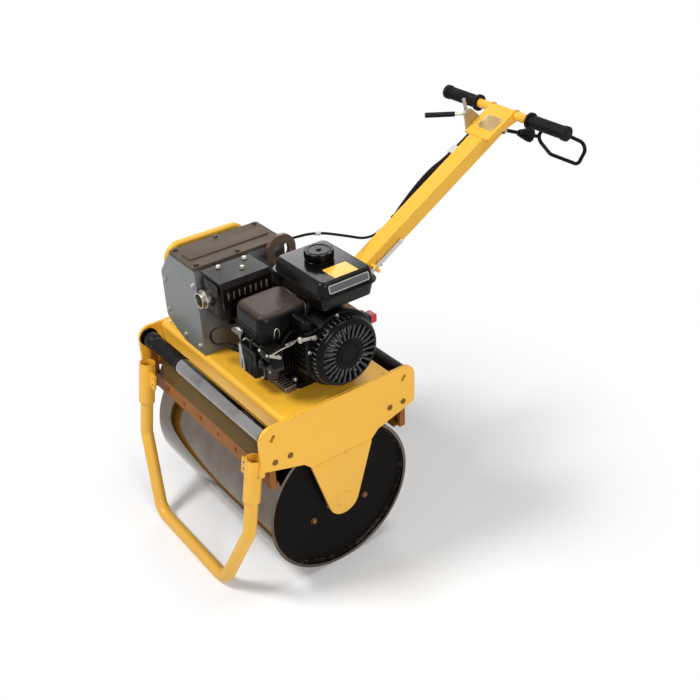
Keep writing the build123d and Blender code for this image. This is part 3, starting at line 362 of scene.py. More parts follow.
@dataclass(frozen=True)
class Moulded(Finish):
    """Moulded plastic or rubber: an even colour with a fine leathery grain and pale scuffs.

    Attributes:
        scuff: Colour of the scuffs.
        scuffed: Share that is scuffed, 0 to 1.
        rub: Size of the scuffs in mm.
    """

    scuff: str = "#4A4744"
    scuffed: float = 0.3
    rub: float = 22.0

    def pattern(self, graph: Graph, spot: Socket) -> Look:
        """Grain from the mould and scuffs in soft patches.

        Args:
            graph: The material's nodes.
            spot: Coordinates in metres.

        Returns:
            Colour, roughness and height.
        """
        tone, gloss, _ = super().pattern(graph, spot)
        skin = graph.add("ShaderNodeTexVoronoi", {"Vector": spot}, {"Scale": per_mm(self.grain)},
                         feature="SMOOTH_F1")
        rub = graph.add("ShaderNodeTexNoise", {"Vector": spot},
                        {"Scale": per_mm(self.rub), "Detail": 8.0, "Roughness": 0.75})
        mask = graph.add("ShaderNodeMapRange", {"Value": rub.outputs["Fac"]},
                         {"From Min": 0.70 - 0.2 * self.scuffed, "From Max": 0.85, "To Min": 0.0,
                          "To Max": 0.7})
        scuffed = graph.add("ShaderNodeMix", {0: mask.outputs["Result"], 6: tone}, {7: linear(self.scuff)},
                            data_type="RGBA")
        return scuffed.outputs[2], gloss, skin.outputs["Distance"]


@dataclass(frozen=True)
class Cast(Finish):
    """Sand-cast or die-cast alloy: a pebbly skin, darker in its pits.

    Attributes:
        metallic: 1 for bare alloy, 0 for a painted casting.
        pit: Colour in the pits.
    """

    metallic: float = 1.0
    pit: str = "#3A3835"

    def shader(self) -> dict[str, Any]:
        """Constants of bare or painted cast metal."""
        return {"Metallic": self.metallic, "Specular IOR Level": self.shine}

    def pattern(self, graph: Graph, spot: Socket) -> Look:
        """Pebbly height whose pits hold grime.

        Args:
            graph: The material's nodes.
            spot: Coordinates in metres.

        Returns:
            Colour, roughness and height.
        """
        tone, gloss, _ = super().pattern(graph, spot)
        pebble = graph.add("ShaderNodeTexVoronoi", {"Vector": spot},
                           {"Scale": per_mm(self.grain), "Detail": 2.0})
        deep = graph.add("ShaderNodeMapRange", {"Value": pebble.outputs["Distance"]},
                         {"From Min": 0.45, "From Max": 0.9, "To Min": 0.0, "To Max": 0.7})
        grimy = graph.add("ShaderNodeMix", {0: deep.outputs["Result"], 6: tone}, {7: linear(self.pit)},
                          data_type="RGBA")
        return grimy.outputs[2], gloss, pebble.outputs["Distance"]


class Shop:
    """The finishes of this machine, each made once when it is first asked for."""

    # Sprayed yellow enamel on plate: warm and glossy, with a faint orange peel and chipped edges
    YELLOW = Enamel("yellow_enamel", "#F0B83A", "#E8AC2E", 0.33, patch=240.0, relief=0.012, coat=0.15,
                    shine=0.35)
    # The same enamel on the stand and the sleeves, rubbed and dusty near the ground
    STAND_YELLOW = Enamel("yellow_enamel_rubbed", "#EFB63A", "#E2A830", 0.36, patch=120.0, chipped=0.8,
                          dusty=0.3, coat=0.15, shine=0.35)
    # Yellow enamel of the scrapers, darkened to amber as painted shade under the deck; duller, chipped and a
    # little dusty
    AMBER_PAINTED_SHADE = Enamel("amber_enamel_painted_shade", "#99590F", "#784A14", 0.5, patch=60.0, chipped=0.9, dust_to=560.0,
                   dusty=0.12, coat=0.0, shine=0.2)
    # The scrapers' amber darkened further to olive on the aprons over the scrapers: painted shade of the gap
    # under the deck and the bar
    OLIVE_PAINTED_SHADE = Enamel("olive_enamel_painted_shade", "#66502A", "#4C3A1C", 0.55, patch=70.0, chipped=0.7, dusty=0.0,
                   coat=0.0, shine=0.2)
    # Grey enamel on folded sheet: mid grey, satin
    GREY = Enamel("grey_enamel_sheet", "#676B6B", "#5C5F5F", 0.4, patch=150.0, chipped=0.4, dust_from=500.0,
                  dust_to=640.0, dusty=0.4, coat=0.2)
    # Black satin enamel on tube and strap: a dull gleam along the edges
    BLACK = Enamel("black_enamel", "#080707", "#0E0C0B", 0.3, chip="#4C4640", chipped=0.4, dusty=0.1,
                   coat=0.0, shine=0.1)
    # Black enamel inside the drum's rim: dull, with scraped edges and a trace of dust
    DRUM_BLACK = Enamel("black_enamel_dusty", "#070707", "#0F0C0B", 0.34, patch=70.0, chip="#5E564C",
                        chipped=0.6, dust_to=520.0, dusty=0.02, relief=0.05, coat=0.0, shine=0.04)
    # Dark brown primer on the cut lifting eye, satin with pale rubbed edges
    BROWN = Enamel("brown_primer", "#4A2713", "#57331B", 0.42, chip="#8A7A66", chipped=0.8, dusty=0.0,
                   coat=0.1)
    # Black gloss enamel on the pressed tank: sharp reflections
    TANK = Enamel("black_gloss_enamel", "#050505", "#080707", 0.16, patch=140.0, chip="#3A3A38", chipped=0.2,
                  dust_from=700.0, dust_to=840.0, dusty=0.04, coat=0.0, shine=0.15)
    # Black gloss enamel on the fan cowl, a little duller than the tank
    COWL = Enamel("black_cowl_enamel", "#050505", "#090808", 0.2, chip="#45433F", chipped=0.3,
                  dust_from=520.0, dust_to=700.0, dusty=0.06, coat=0.0, shine=0.1)
    # Powder coat with a coarse stipple on the lid: dark grey-brown and matt
    LID = Enamel("stippled_powder_coat", "#54483E", "#42372F", 0.6, grain=2.6, relief=0.35, chip="#75706A",
                 dust_from=900.0, dust_to=500.0, dusty=0.12, coat=0.0, shine=0.2)
    # Heat paint on the muffler: dull black that has browned
    HEAT = Enamel("heat_paint", "#0A0808", "#17110F", 0.34, patch=50.0, grain=1.6, relief=0.05,
                  chip="#6A4A34", chipped=0.5, dusty=0.0, coat=0.0, shine=0.1)
    # Black without gloss: soot in the exhaust outlet, and on the muffler's end plate dots that stand for its
    # holes, painted shade of their depth with soot
    SOOT_AND_PAINTED_SHADE = Finish("soot_and_painted_shade", "#050505", "#0C0A09", 0.85, grain=0.9, relief=0.05, shine=0.15)
    # Rolled steel polished by the road: bright, with fine marks round the drum; its brown patches and stains
    # are partly road dirt and partly painted reflection of the dark ground and the stand
    ROLLED = Metal("rolled_steel_road_polished", "#7E7C79", "#5C4022", 0.05, spread=0.03, patch=300.0,
                   relief=0.012, marks=(2.2, 320.0, 320.0), cut=0.06, stain_and_reflection="#3A200E", stain_and_reflection_share=1.0)
    # Chromed bar: nearly a mirror
    CHROME = Metal("bright_chromed_steel", "#CFCCC9", "#B5B1AD", 0.05, spread=0.02, relief=0.004,
                   marks=(1.4, 60.0, 60.0), cut=0.05, stain_and_reflection_share=0.12)
    # Drawn steel of the front bar: bright, with dark patches and streaks along it that are painted
    # reflections of the dark parts round it
    DRAWN = Metal("drawn_bright_steel", "#B0AEAB", "#625E63", 0.05, spread=0.02, patch=150.0, relief=0.004,
                  marks=(900.0, 4.0, 4.0), cut=0.05, stain_and_reflection="#1A1413", stain_and_reflection_share=0.6)
    # Zinc plated pressings and screws: pale grey with a yellow cast
    ZINC = Metal("zinc_plated_steel", "#B9B6AC", "#A39E90", 0.32, patch=30.0, relief=0.01,
                 marks=(6.0, 6.0, 1.2), cut=0.12, stain_and_reflection="#7A6A4C", stain_and_reflection_share=0.3)
    # Yellow passivated screws that have browned: dull brass-brown
    BROWNED = Metal("passivated_steel_browned", "#8E6C3C", "#6A4A28", 0.4, patch=18.0, relief=0.02,
                    marks=(5.0, 5.0, 1.4), cut=0.1, stain_and_reflection="#4A2E18", stain_and_reflection_share=0.6)
    # Oiled black steel of wear strips and lid screws: dark with a dull metal gleam
    DARK_STEEL = Metal("oiled_black_steel", "#4A4743", "#35322F", 0.42, patch=25.0, relief=0.02,
                       marks=(5.0, 5.0, 1.4), cut=0.1, stain_and_reflection="#5A3E26", stain_and_reflection_share=0.5)
    # Bare aluminium sheet of the blank plate, finely brushed
    PLATE = Metal("brushed_aluminium_sheet", "#B9A074", "#A88E60", 0.4, patch=40.0, relief=0.006,
                  marks=(60.0, 1.0, 1.0), cut=0.1, stain_and_reflection="#8F8468", stain_and_reflection_share=0.2)
    # Die-cast alloy of the head's flange and the exhaust elbow: grey and grainy under oil film
    ALLOY = Cast("die_cast_alloy", "#BDBBB6", "#9C9994", 0.36, grain=2.2, relief=0.06)
    # The same alloy with dark grime, on the carburettor
    ALLOY_DARK = Cast("die_cast_alloy_grimy", "#4A4845", "#343230", 0.4, grain=2.2, relief=0.08)
    # Bare machined alloy along the valve cover's edge: pale and satin
    BARE = Cast("bare_machined_alloy", "#D6D4D0", "#BAB7B2", 0.45, grain=2.2, relief=0.03, metallic=0.3,
                pit="#8A8884")
    # Brownish sand-cast foot of the sump: coarse skin under oil
    SUMP = Cast("sand_cast_alloy_oily", "#CDBEAC", "#97836F", 0.4, grain=2.6, relief=0.12)
    # Engine casting painted black: a coarse skin with soft highlights
    CASTING = Cast("black_painted_casting", "#090808", "#100E0E", 0.36, grain=2.4, relief=0.10, metallic=0.0,
                   pit="#040404", shine=0.12)
    # Moulded rubber: matt black with a fine skin
    RUBBER = Moulded("moulded_rubber", "#090808", "#100E0D", 0.5, grain=1.4, relief=0.05, scuff="#242120",
                     scuffed=0.3, shine=0.14)
    # Moulded black nylon and ABS: satin with a fine leather grain
    PLASTIC = Moulded("moulded_black_abs", "#050505", "#090808", 0.24, grain=1.1, relief=0.02,
                      scuff="#1E1C1B", scuffed=0.15, shine=0.1)
    # The same plastic on the recoil cover's spokes and rim ribs, glossier and lightened to grey with pale
    # marks: a painted sheen
    BLACK_PAINTED_SHEEN = Moulded("moulded_black_abs_painted_sheen", "#2C2C2C", "#1C1B1B", 0.14, grain=1.1, relief=0.01,
                    scuff="#6A6866", scuffed=0.4, shine=0.6)
    # Satin black of the air cleaner, under a brown film of dust on its top
    CLEANER = Enamel("satin_black_cover_dusty", "#0A0908", "#120F0D", 0.3, chip="#2A2724", chipped=0.2,
                     dust="#85715F", dust_from=744.0, dust_to=729.0, dusty=0.7, coat=0.0, shine=0.12)
    # Nylon of the cooling fan, seen through the cover's slots: its pale grey is a painted highlight that
    # lights up the slots
    FAN = Moulded("grey_nylon_painted_highlight", "#B5B3AF", "#9A9894", 0.4, scuff="#77746F", shine=0.4)
    # Dull slate enamel on the tank's bare band
    BAND = Moulded("dull_slate_enamel", "#5A5E64", "#494D52", 0.4, scuff="#74787D", shine=0.35)
    # Red switch cap: glossy ABS
    RED = Moulded("moulded_red_abs", "#C21B28", "#A81420", 0.28, scuff="#DE6E6A", scuffed=0.2, relief=0.01)
    # White nylon clamps and tags: satin, a little yellowed
    WHITE = Moulded("moulded_white_nylon", "#CFCDC8", "#BEBAB2", 0.42, scuff="#B9B2A4", relief=0.01)

    def __init__(self) -> None:
        """Start with no material made."""
        self.made: dict[str, bpy.types.Material] = {}

    def get(self, finish: Finish) -> bpy.types.Material:
        """The material of a finish.

        Args:
            finish: The finish.

        Returns:
            Its material, made at the first call.
        """
        if finish.name not in self.made:
            self.made[finish.name] = finish.build()
        return self.made[finish.name]


SHOP = Shop()


def seat(point: Spot, axis: Spot = UP, spin: float = 0.0) -> Matrix:
    """A place for a shape: its own Z along an axis.

    Args:
        point: Where it sits, in mm.
        axis: Direction of its Z.
        spin: Turn about that axis in degrees.

    Returns:
        The placing matrix in mm.
    """
    way = Vector(axis).normalized()
    if abs(way.z) > 0.9999:
        turn = Matrix.Rotation(0.0 if way.z > 0 else pi, 4, "X")
    else:
        turn = way.to_track_quat("Z", "Y").to_matrix().to_4x4()
    return Matrix.Translation(Vector(point)) @ turn @ Matrix.Rotation(radians(spin), 4, "Z")


class Stock:
    """A mesh in the making, in mm: turned, pressed and bent shapes joined in one piece."""

    def __init__(self, name: str) -> None:
        """Start an empty piece."""
        self.name = name
        self.mesh = bmesh.new()

    def turn(self, profile: Sequence[Pair], at: Matrix, steps: int = 24) -> "Stock":
        """Spin a profile about the local Z axis.

        Args:
            profile: Radius and height of each corner, from the bottom up.
            at: Where it goes.
            steps: Facets round the axis; 6 makes a hexagon.

        Returns:
            This piece.
        """
        rings = []
        for radius, height in profile:
            count = steps if radius > 1e-6 else 1
            spots = [(radius * cos(2 * pi * k / steps), radius * sin(2 * pi * k / steps), height)
                     for k in range(count)]
            rings.append([self.mesh.verts.new(at @ Vector(s)) for s in spots])
        for low, high in zip(rings, rings[1:]):
            for k in range(steps):
                corners = [low[k % len(low)], low[(k + 1) % len(low)], high[(k + 1) % len(high)],
                           high[k % len(high)]]
                corners = list(dict.fromkeys(corners))
                if len(corners) > 2:
                    self.mesh.faces.new(corners)
        return self

    def press(self, outline: Sequence[Pair], depth: float, at: Matrix, edge: float = 0.0) -> "Stock":
        """Extrude an outline along the local Z axis and round its rims.

        Args:
            outline: Corners in order, in the local XY plane.
            depth: Thickness.
            at: Where it goes.
            edge: Radius of the rounded rims.

        Returns:
            This piece.
        """
        shape = bmesh.new()
        base = shape.faces.new([shape.verts.new((x, y, 0.0)) for x, y in outline])
        grown = bmesh.ops.extrude_face_region(shape, geom=[base])
        moved = [g for g in grown["geom"] if isinstance(g, bmesh.types.BMVert)]
        bmesh.ops.translate(shape, verts=moved, vec=(0, 0, depth))
        bmesh.ops.recalc_face_normals(shape, faces=shape.faces)
        if edge > 0:
            rims = [e for e in shape.edges if abs(e.verts[0].co.z - e.verts[1].co.z) < 1e-6]
            bmesh.ops.bevel(shape, geom=rims, offset=edge, segments=2, profile=0.5, affect="EDGES")
        shape.transform(at)
        data = bpy.data.meshes.new("shape")
        shape.to_mesh(data)
        shape.free()
        return self.take(data)

    def bend(self, points: Sequence[Spot], radius: float, sides: int = 3) -> "Stock":
        """Run a round rod along a smooth line.

        Args:
            points: Control points of the line, in mm.
            radius: The rod's radius.
            sides: Resolution round the rod.

        Returns:
            This piece.
        """
        return self.take(self.drawn(points, radius, sides))

    @staticmethod
    def drawn(points: Sequence[Spot], radius: float = 0.0, sides: int = 0) -> bpy.types.Mesh:
        """Draw a smooth line, bare or as a rod.

        Args:
            points: Control points of the line.
            radius: The rod's radius, or 0 for the bare line.
            sides: Resolution round the rod.

        Returns:
            Its mesh.
        """
        curve = bpy.data.curves.new("line", "CURVE")
        curve.dimensions = "3D"
        curve.bevel_depth = radius
        curve.bevel_resolution = sides
        curve.use_fill_caps = True
        spline = curve.splines.new("NURBS")
        spline.points.add(len(points) - 1)
        for knot, point in zip(spline.points, points):
            knot.co = (*point, 1.0)
        spline.order_u = 3
        spline.use_endpoint_u = True
        spline.resolution_u = 8
        carrier = bpy.data.objects.new("line", curve)
        mesh = bpy.data.meshes.new_from_object(carrier)
        bpy.data.objects.remove(carrier)
        bpy.data.curves.remove(curve)
        return mesh

    @classmethod
    def route(cls, points: Sequence[Spot]) -> list[Vector]:
        """Points along the smooth line that some control points draw.

        Args:
            points: Control points of the line.

        Returns:
            Its points in order.
        """
        mesh = cls.drawn(points)
        line = [vertex.co.copy() for vertex in mesh.vertices]
        bpy.data.meshes.remove(mesh)
        return line

    def band(self, outer: Sequence[Pair], inner: Sequence[Pair], depth: float, at: Matrix) -> "Stock":
        """Extrude the strip between two outlines that have as many points each.

        Args:
            outer: The outer outline.
            inner: The inner one.
            depth: Thickness along the local Z axis.
            at: Where it goes.

        Returns:
            This piece.
        """
        loops = [[self.mesh.verts.new(at @ Vector((x, y, z))) for x, y in outline]
                 for z in (0.0, depth) for outline in (outer, inner)]
        low_outer, low_inner, high_outer, high_inner = loops
        walk = (low_outer, high_outer, high_inner, low_inner, low_outer)
        for k in range(len(outer)):
            after = (k + 1) % len(outer)
            for first, second in zip(walk, walk[1:]):
                self.mesh.faces.new((first[k], first[after], second[after], second[k]))
        return self

    def weld(self, start: Spot, end: Spot, size: float) -> "Stock":
        """A weld bead along a straight seam: a run of overlapping ripples.

        Args:
            start: One end of the seam.
            end: The other end.
            size: Radius of the bead.

        Returns:
            This piece.
        """
        way = Vector(end) - Vector(start)
        count = max(2, int(way.length / (size * 1.15)))
        step = way.length / count
        profile: list[Pair] = [(0, 0)]
        for k in range(count):
            profile += [(size * 0.78, (k + 0.1) * step), (size, (k + 0.6) * step)]
        return self.turn([*profile, (size * 0.6, way.length), (0, way.length)], seat(start, way), 8)

    def take(self, data: bpy.types.Mesh) -> "Stock":
        """Join another mesh to this one and free it.

        Args:
            data: The other mesh.

        Returns:
            This piece.
        """
        self.mesh.from_mesh(data)
        bpy.data.meshes.remove(data)
        return self

    def bolt(self, point: Spot, axis: Spot, size: float, spin: float = 10.0, squat: float = 1.0) -> "Stock":
        """A hexagon head with its chamfer, on a washer.

        Args:
            point: Where the washer sits, in mm.
            axis: Direction that the head faces.
            size: Thread diameter.
            spin: Turn of the head in degrees.
            squat: Height of the head as a share of a full one.

        Returns:
            This piece.
        """
        at = seat(point, axis, spin) @ Matrix.Diagonal((1.0, 1.0, squat, 1.0))
        rim, thick, ease = size * 1.05, size * 0.2, 0.3
        washer = [(0, 0), (rim - ease, 0), (rim, ease), (rim, thick - ease), (rim - ease, thick), (0, thick)]
        self.turn(washer, at, 20)
        flat, top, dish = size * 0.95, thick + size * 0.65, size * 0.05
        return self.turn([(flat, thick), (flat, top - size * 0.1), (flat * 0.88, top), (flat * 0.5, top),
                          (flat * 0.45, top - dish), (0, top - dish)], at, 6)

    def place(self, finish: Finish, body: Body | None = Body.CHASSIS, node: Sequence[str] = (),
              smooth: float = 35.0) -> bpy.types.Object:
        """Finish the piece and set it on its body.

        Args:
            finish: Its surface.
            body: The body that carries it, or None to leave it on no body.
            node: Solids that it stands for.
            smooth: Angle in degrees below which edges are shaded smooth.

        Returns:
            The Blender object.
        """
        bmesh.ops.recalc_face_normals(self.mesh, faces=self.mesh.faces)
        self.mesh.transform(Matrix.Scale(MM, 4))
        data = bpy.data.meshes.new(self.name)
        self.mesh.to_mesh(data)
        self.mesh.free()
        data.shade_smooth()
        data.set_sharp_from_angle(angle=radians(smooth))
        data.materials.append(SHOP.get(finish))
        piece = bpy.data.objects.new(self.name, data)
        bpy.context.scene.collection.objects.link(piece)
        if body:
            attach(piece, body.value)
        if node:
            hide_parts(*node)
        carrier = body.value if body else "two bodies"
        LOG.info("%s rides on %s with %d faces", self.name, carrier, len(data.polygons))
        return piece


@dataclass(frozen=True)
class Box:
    """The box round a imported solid, in mm.

    Attributes:
        low: Its lowest corner.
        high: Its highest corner.
    """

    low: Vector
    high: Vector

    @property
    def mid(self) -> Point:
        """Its middle."""
        return Point(*((a + b) / 2 for a, b in zip(self.low, self.high)))

    @property
    def size(self) -> Point:
        """Its width, length and height."""
        return Point(*(b - a for a, b in zip(self.low, self.high)))

    def side(self, way: int) -> float:
        """Where it ends along X, on the side that `way` points to."""
        return self.high.x if way > 0 else self.low.x

    def end(self, way: int) -> float:
        """Where it ends along Y, at the end that `way` points to."""
        return self.high.y if way > 0 else self.low.y


def solid(node: str) -> Box:
    """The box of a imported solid."""
    low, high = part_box(node)
    return Box(Vector(low) / MM, Vector(high) / MM)


def panel(width: float, height: float, corner: float, steps: int = 5) -> list[Pair]:
    """Outline of a rectangle with round corners.

    Args:
        width: Size along the local X.
        height: Size along the local Y.
        corner: Radius of the corners.
        steps: Facets of each corner.

    Returns:
        Its points about the middle, in order.
    """
    points = []
    for quarter, (right, up) in enumerate(((1, 1), (-1, 1), (-1, -1), (1, -1))):
        for k in range(steps + 1):
            angle = pi / 2 * (quarter + k / steps)
            points.append((right * (width / 2 - corner) + corner * cos(angle),
                           up * (height / 2 - corner) + corner * sin(angle)))
    return points


def ring(inner: float, outer: float, thick: float, ease: float = 0.8) -> list[Pair]:
    """Profile of a flat ring with eased rims, for Stock.turn."""
    return [(inner, 0), (outer - ease, 0), (outer, ease), (outer, thick - ease), (outer - ease, thick),
            (inner + ease, thick), (inner, thick - ease), (inner, 0)]


def on_ring(centre: Spot, radius: float, angle: float) -> Point:
    """A place on a ring about an axis along X, by its angle from the rear in radians."""
    return Point(centre[0], centre[1] + radius * cos(angle), centre[2] + radius * sin(angle))


@dataclass
class DrumEnds:
    """Hub flanges, screwed plugs and rim welds on both ends of the drum.

    Attributes:
        hub: Inner radius of the flange, clear of the axle.
        flange: Its outer radius.
        thick: Its thickness.
        screw_ring: Radius of the ring of screws.
        screws: Number of screws.
        thread: Thread of the screws.
        plug_ring: Radius at which the filler plugs sit.
        plug_angles: Where they sit on it, in degrees.
        plug_thread: Their thread.
        rim: Inner radius of the drum's shell.
        bead: Size of the rim weld.
    """

    hub: float = 31.5
    flange: float = 46.0
    thick: float = 4.0
    screw_ring: float = 39.0
    screws: int = 6
    thread: float = 5.0
    plug_ring: float = 92.0
    plug_angles: Spot = (90.0, 210.0, 330.0)
    plug_thread: float = 8.0
    rim: float = 202.0
    bead: float = 6.0

    def build(self) -> None:
        """Fit both ends."""
        for name, side in SIDES:
            disc = solid(f"drum_disc_{name}")
            face, axle, axis = disc.side(side), disc.mid.z, (side, 0, 0)
            at = seat((face, 0, axle), axis)
            flange = Stock(f"hub_flange_{name}").turn(ring(self.hub, self.flange, self.thick), at, 64)
            flange.place(Shop.BLACK, Body.DRUM)
            rim, bead = self.rim, self.bead
            fillet = [(rim, 0), (rim - bead, 0), (rim - 0.45 * bead, 0.45 * bead), (rim, bead), (rim, 0)]
            Stock(f"rim_weld_{name}").turn(fillet, at, 160).place(Shop.DRUM_BLACK, Body.DRUM)
            screws = Stock(f"hub_screws_{name}")
            for k in range(self.screws):
                angle = 2 * pi * (k + 0.5) / self.screws
                spot = on_ring((face + side * self.thick, 0, axle), self.screw_ring, angle)
                screws.bolt(spot, axis, self.thread, 17.0 * k)
            screws.place(Shop.ZINC, Body.DRUM)
            plugs = Stock(f"disc_plugs_{name}")
            for angle in map(radians, self.plug_angles):
                plugs.bolt(on_ring((face, 0, axle), self.plug_ring, angle), axis, self.plug_thread, 25.0)
            plugs.place(Shop.BROWNED, Body.DRUM)


@dataclass
class FrameFittings:
    """Fasteners, welds and small fittings of the frame, its bars, scrapers and deck.

    Attributes:
        plate_depth: Height of a side plate between its lower and upper edge.
        plate_screw_y: How far from the axle the plate's screws lie.
        plate_screw_rise: Their height over the plate's lower edge.
        thread: Their thread.
        squat: Height of their heads as a share of full ones.
        axle_plug: Profile of the disc that closes the axle's end.
        weld: Size of the weld beads.
        collar: Inner radius, outer radius and thickness of the rings at the bars' ends.
        grip_rib: Profile of one rib on the hand grip.
        rib_pitch: Spacing of these ribs.
        grip_ends: Bare length at the grip's right end, and at both ends together.
        web: Depth of a scraper's upright web.
        strip: Depth of the wear strip under a scraper's edge.
        web_screws: Where the screws through the web lie along X.
        apron: Run and rise of the sheet that leans over a scraper.
        apron_foot: Height of its lower edge over the scraper's.
    """

    plate_depth: float = 114.0
    plate_screw_y: Pair = (148.0, 190.0)
    plate_screw_rise: float = 13.0
    thread: float = 7.5
    squat: float = 0.45
    axle_plug: Sequence[Pair] = ((24.0, 0), (23.0, 1.4), (20.0, 1.8), (18.6, 0.8), (0, 0.8))
    weld: float = 2.6
    collar: Spot = (12.6, 25.5, 5.0)
    grip_rib: Sequence[Pair] = ((17.6, 0), (18.9, 0.7), (18.9, 2.0), (17.6, 2.7))
    rib_pitch: float = 5.2
    grip_ends: Pair = (42.0, 56.0)
    web: float = 5.5
    strip: float = 3.0
    web_screws: Spot = (-212.0, -126.0, -42.0, 42.0, 126.0, 212.0)
    apron: Pair = (27.0, 56.0)
    apron_foot: float = 46.0

    def build(self) -> None:
        """Fit the frame."""
        self.plates()
        self.bars()
        self.scrapers()
        self.aprons()
        self.deck()

    def plates(self) -> None:
        """Screws and welds of the side plates, and the discs on the axle's ends."""
        deck = solid("deck")
        reach, top = deck.high.y - 16.0, deck.high.z - 0.8
        for name, side in SIDES:
            plate, leg = solid(f"side_plate_{name}"), solid(f"drum_leg_{name}")
            outer, inner, axis = plate.side(side), plate.side(-side), (side, 0, 0)
            level = plate.high.z - self.plate_depth + self.plate_screw_rise
            screws = Stock(f"plate_screws_{name}")
            for _, end in ENDS:
                for k, y in enumerate(self.plate_screw_y):
                    screws.bolt((outer, end * y, level), axis, self.thread, 14.0 + 31.0 * k, self.squat)
            screws.place(Shop.BROWNED)
            at = seat((outer, 0, solid(f"axle_stub_{name}").mid.z), axis)
            Stock(f"axle_plug_{name}").turn(self.axle_plug, at, 48).place(Shop.YELLOW)
            seam = Stock(f"leg_weld_{name}")
            half = leg.size.y / 2 - 6.0
            for face in (outer, inner):
                seam.weld((face, -half, leg.high.z), (face, half, leg.high.z), self.weld)
            seam.weld((inner, -reach, top), (inner, reach, top), self.weld).place(Shop.YELLOW)

    def bars(self) -> None:
        """End collars of the cross bars and the ribs of the hand grip."""
        collars = Stock("bar_collars")
        for bar in (solid("front_bar"), solid("rear_bar")):
            for end, axis in ((bar.high.x, RIGHT), (bar.low.x, LEFT)):
                collars.turn(ring(*self.collar), seat((end, bar.mid.y, bar.mid.z), axis), 36)
        collars.place(Shop.BLACK)
        grip = solid("front_bar_grip")
        ribs = Stock("front_grip_ribs")
        for k in range(int((grip.size.x - self.grip_ends[1]) / self.rib_pitch)):
            spot = (grip.low.x + self.grip_ends[0] + k * self.rib_pitch, grip.mid.y, grip.mid.z)
            ribs.turn(self.grip_rib, seat(spot, LEFT), 36)
        ribs.place(Shop.RUBBER)

    def scrapers(self) -> None:
        """Wear strips under the blades and the screws through their webs."""
        for name, end in ENDS:
            blade = solid(f"scraper_{name}")
            tip, web = blade.end(-end), blade.end(end) - end * self.web
            at = seat((0, (tip + web) / 2, blade.low.z - self.strip))
            strip = Stock(f"scraper_strip_{name}")
            strip.press(panel(blade.size.x - 44.0, abs(tip - web) - 6.0, 2.0), self.strip, at, 0.5)
            strip.place(Shop.DARK_STEEL)
            screws = Stock(f"scraper_screws_{name}")
            for x in self.web_screws:
                screws.bolt((x, web, blade.low.z + 24.0), (0, end, 0), 6.0, x)
            screws.place(Shop.BROWNED)

    def aprons(self) -> None:
        """Leaning sheets between the scrapers and the cross bars, coloured in olive painted shade."""
        run, rise = self.apron
        for name, end in ENDS:
            blade = solid(f"scraper_{name}")
            foot = Vector((0, blade.end(end) - end * 5.0, blade.low.z + self.apron_foot))
            slope, face = Vector((0, -end * run, rise)), Vector((0, end * rise, run))
            sheet = Stock(f"scraper_apron_{name}")
            sheet.press(panel(blade.size.x - 56.0, slope.length, 3.0), 2.5, seat(foot + slope / 2, face), 0.6)
            sheet.place(Shop.OLIVE_PAINTED_SHADE)

    def deck(self) -> None:
        """Feet of the hoop, the deck's screws and the welds of the bracket and the eye."""
        top = solid("deck").high.z
        feet, screws = Stock("hoop_feet"), Stock("deck_screws")
        hoop, block = solid("guard_hoop"), solid("engine_block")
        bracket, eye = solid("drawbar_bracket"), solid("lifting_eye")
        for y in (hoop.low.y + 11.0, hoop.high.y - 11.0):
            at = seat((hoop.mid.x, y, top))
            feet.turn(ring(11.2, 19.5, 4.0), at, 40).turn([(11.0, 8.5), (13.4, 4.0), (14.5, 4.0)], at, 40)
            for reach in (-15.5, 15.5):
                screws.bolt((hoop.mid.x, y + reach, top + 4.0), UP, 4.0, reach)
        feet.place(Shop.YELLOW)
        for x in (block.low.x + 7.5, 186.0):
            for y in (-52.0, 112.0):
                screws.bolt((x, y, top + 14.0), UP, 7.0, x)
        for x in (-20.0, 20.0):
            screws.bolt((x, bracket.low.y + 13.0, top + 8.0), UP, 8.0, 3 * x)
        screws.place(Shop.ZINC)
        seam, front = Stock("bracket_weld"), bracket.low.y
        for x in (bracket.low.x, bracket.high.x):
            seam.weld((x, front + 2.0, top), (x, front + 56.0, top), self.weld)
        seam.weld((-34.0, front, top), (34.0, front, top), self.weld).place(Shop.YELLOW)
        seam = Stock("eye_weld")
        for x in (eye.low.x, eye.high.x):
            seam.weld((x, eye.high.y - 47.0, top), (x, eye.high.y - 1.0, top), self.weld)
        seam.place(Shop.BROWN)


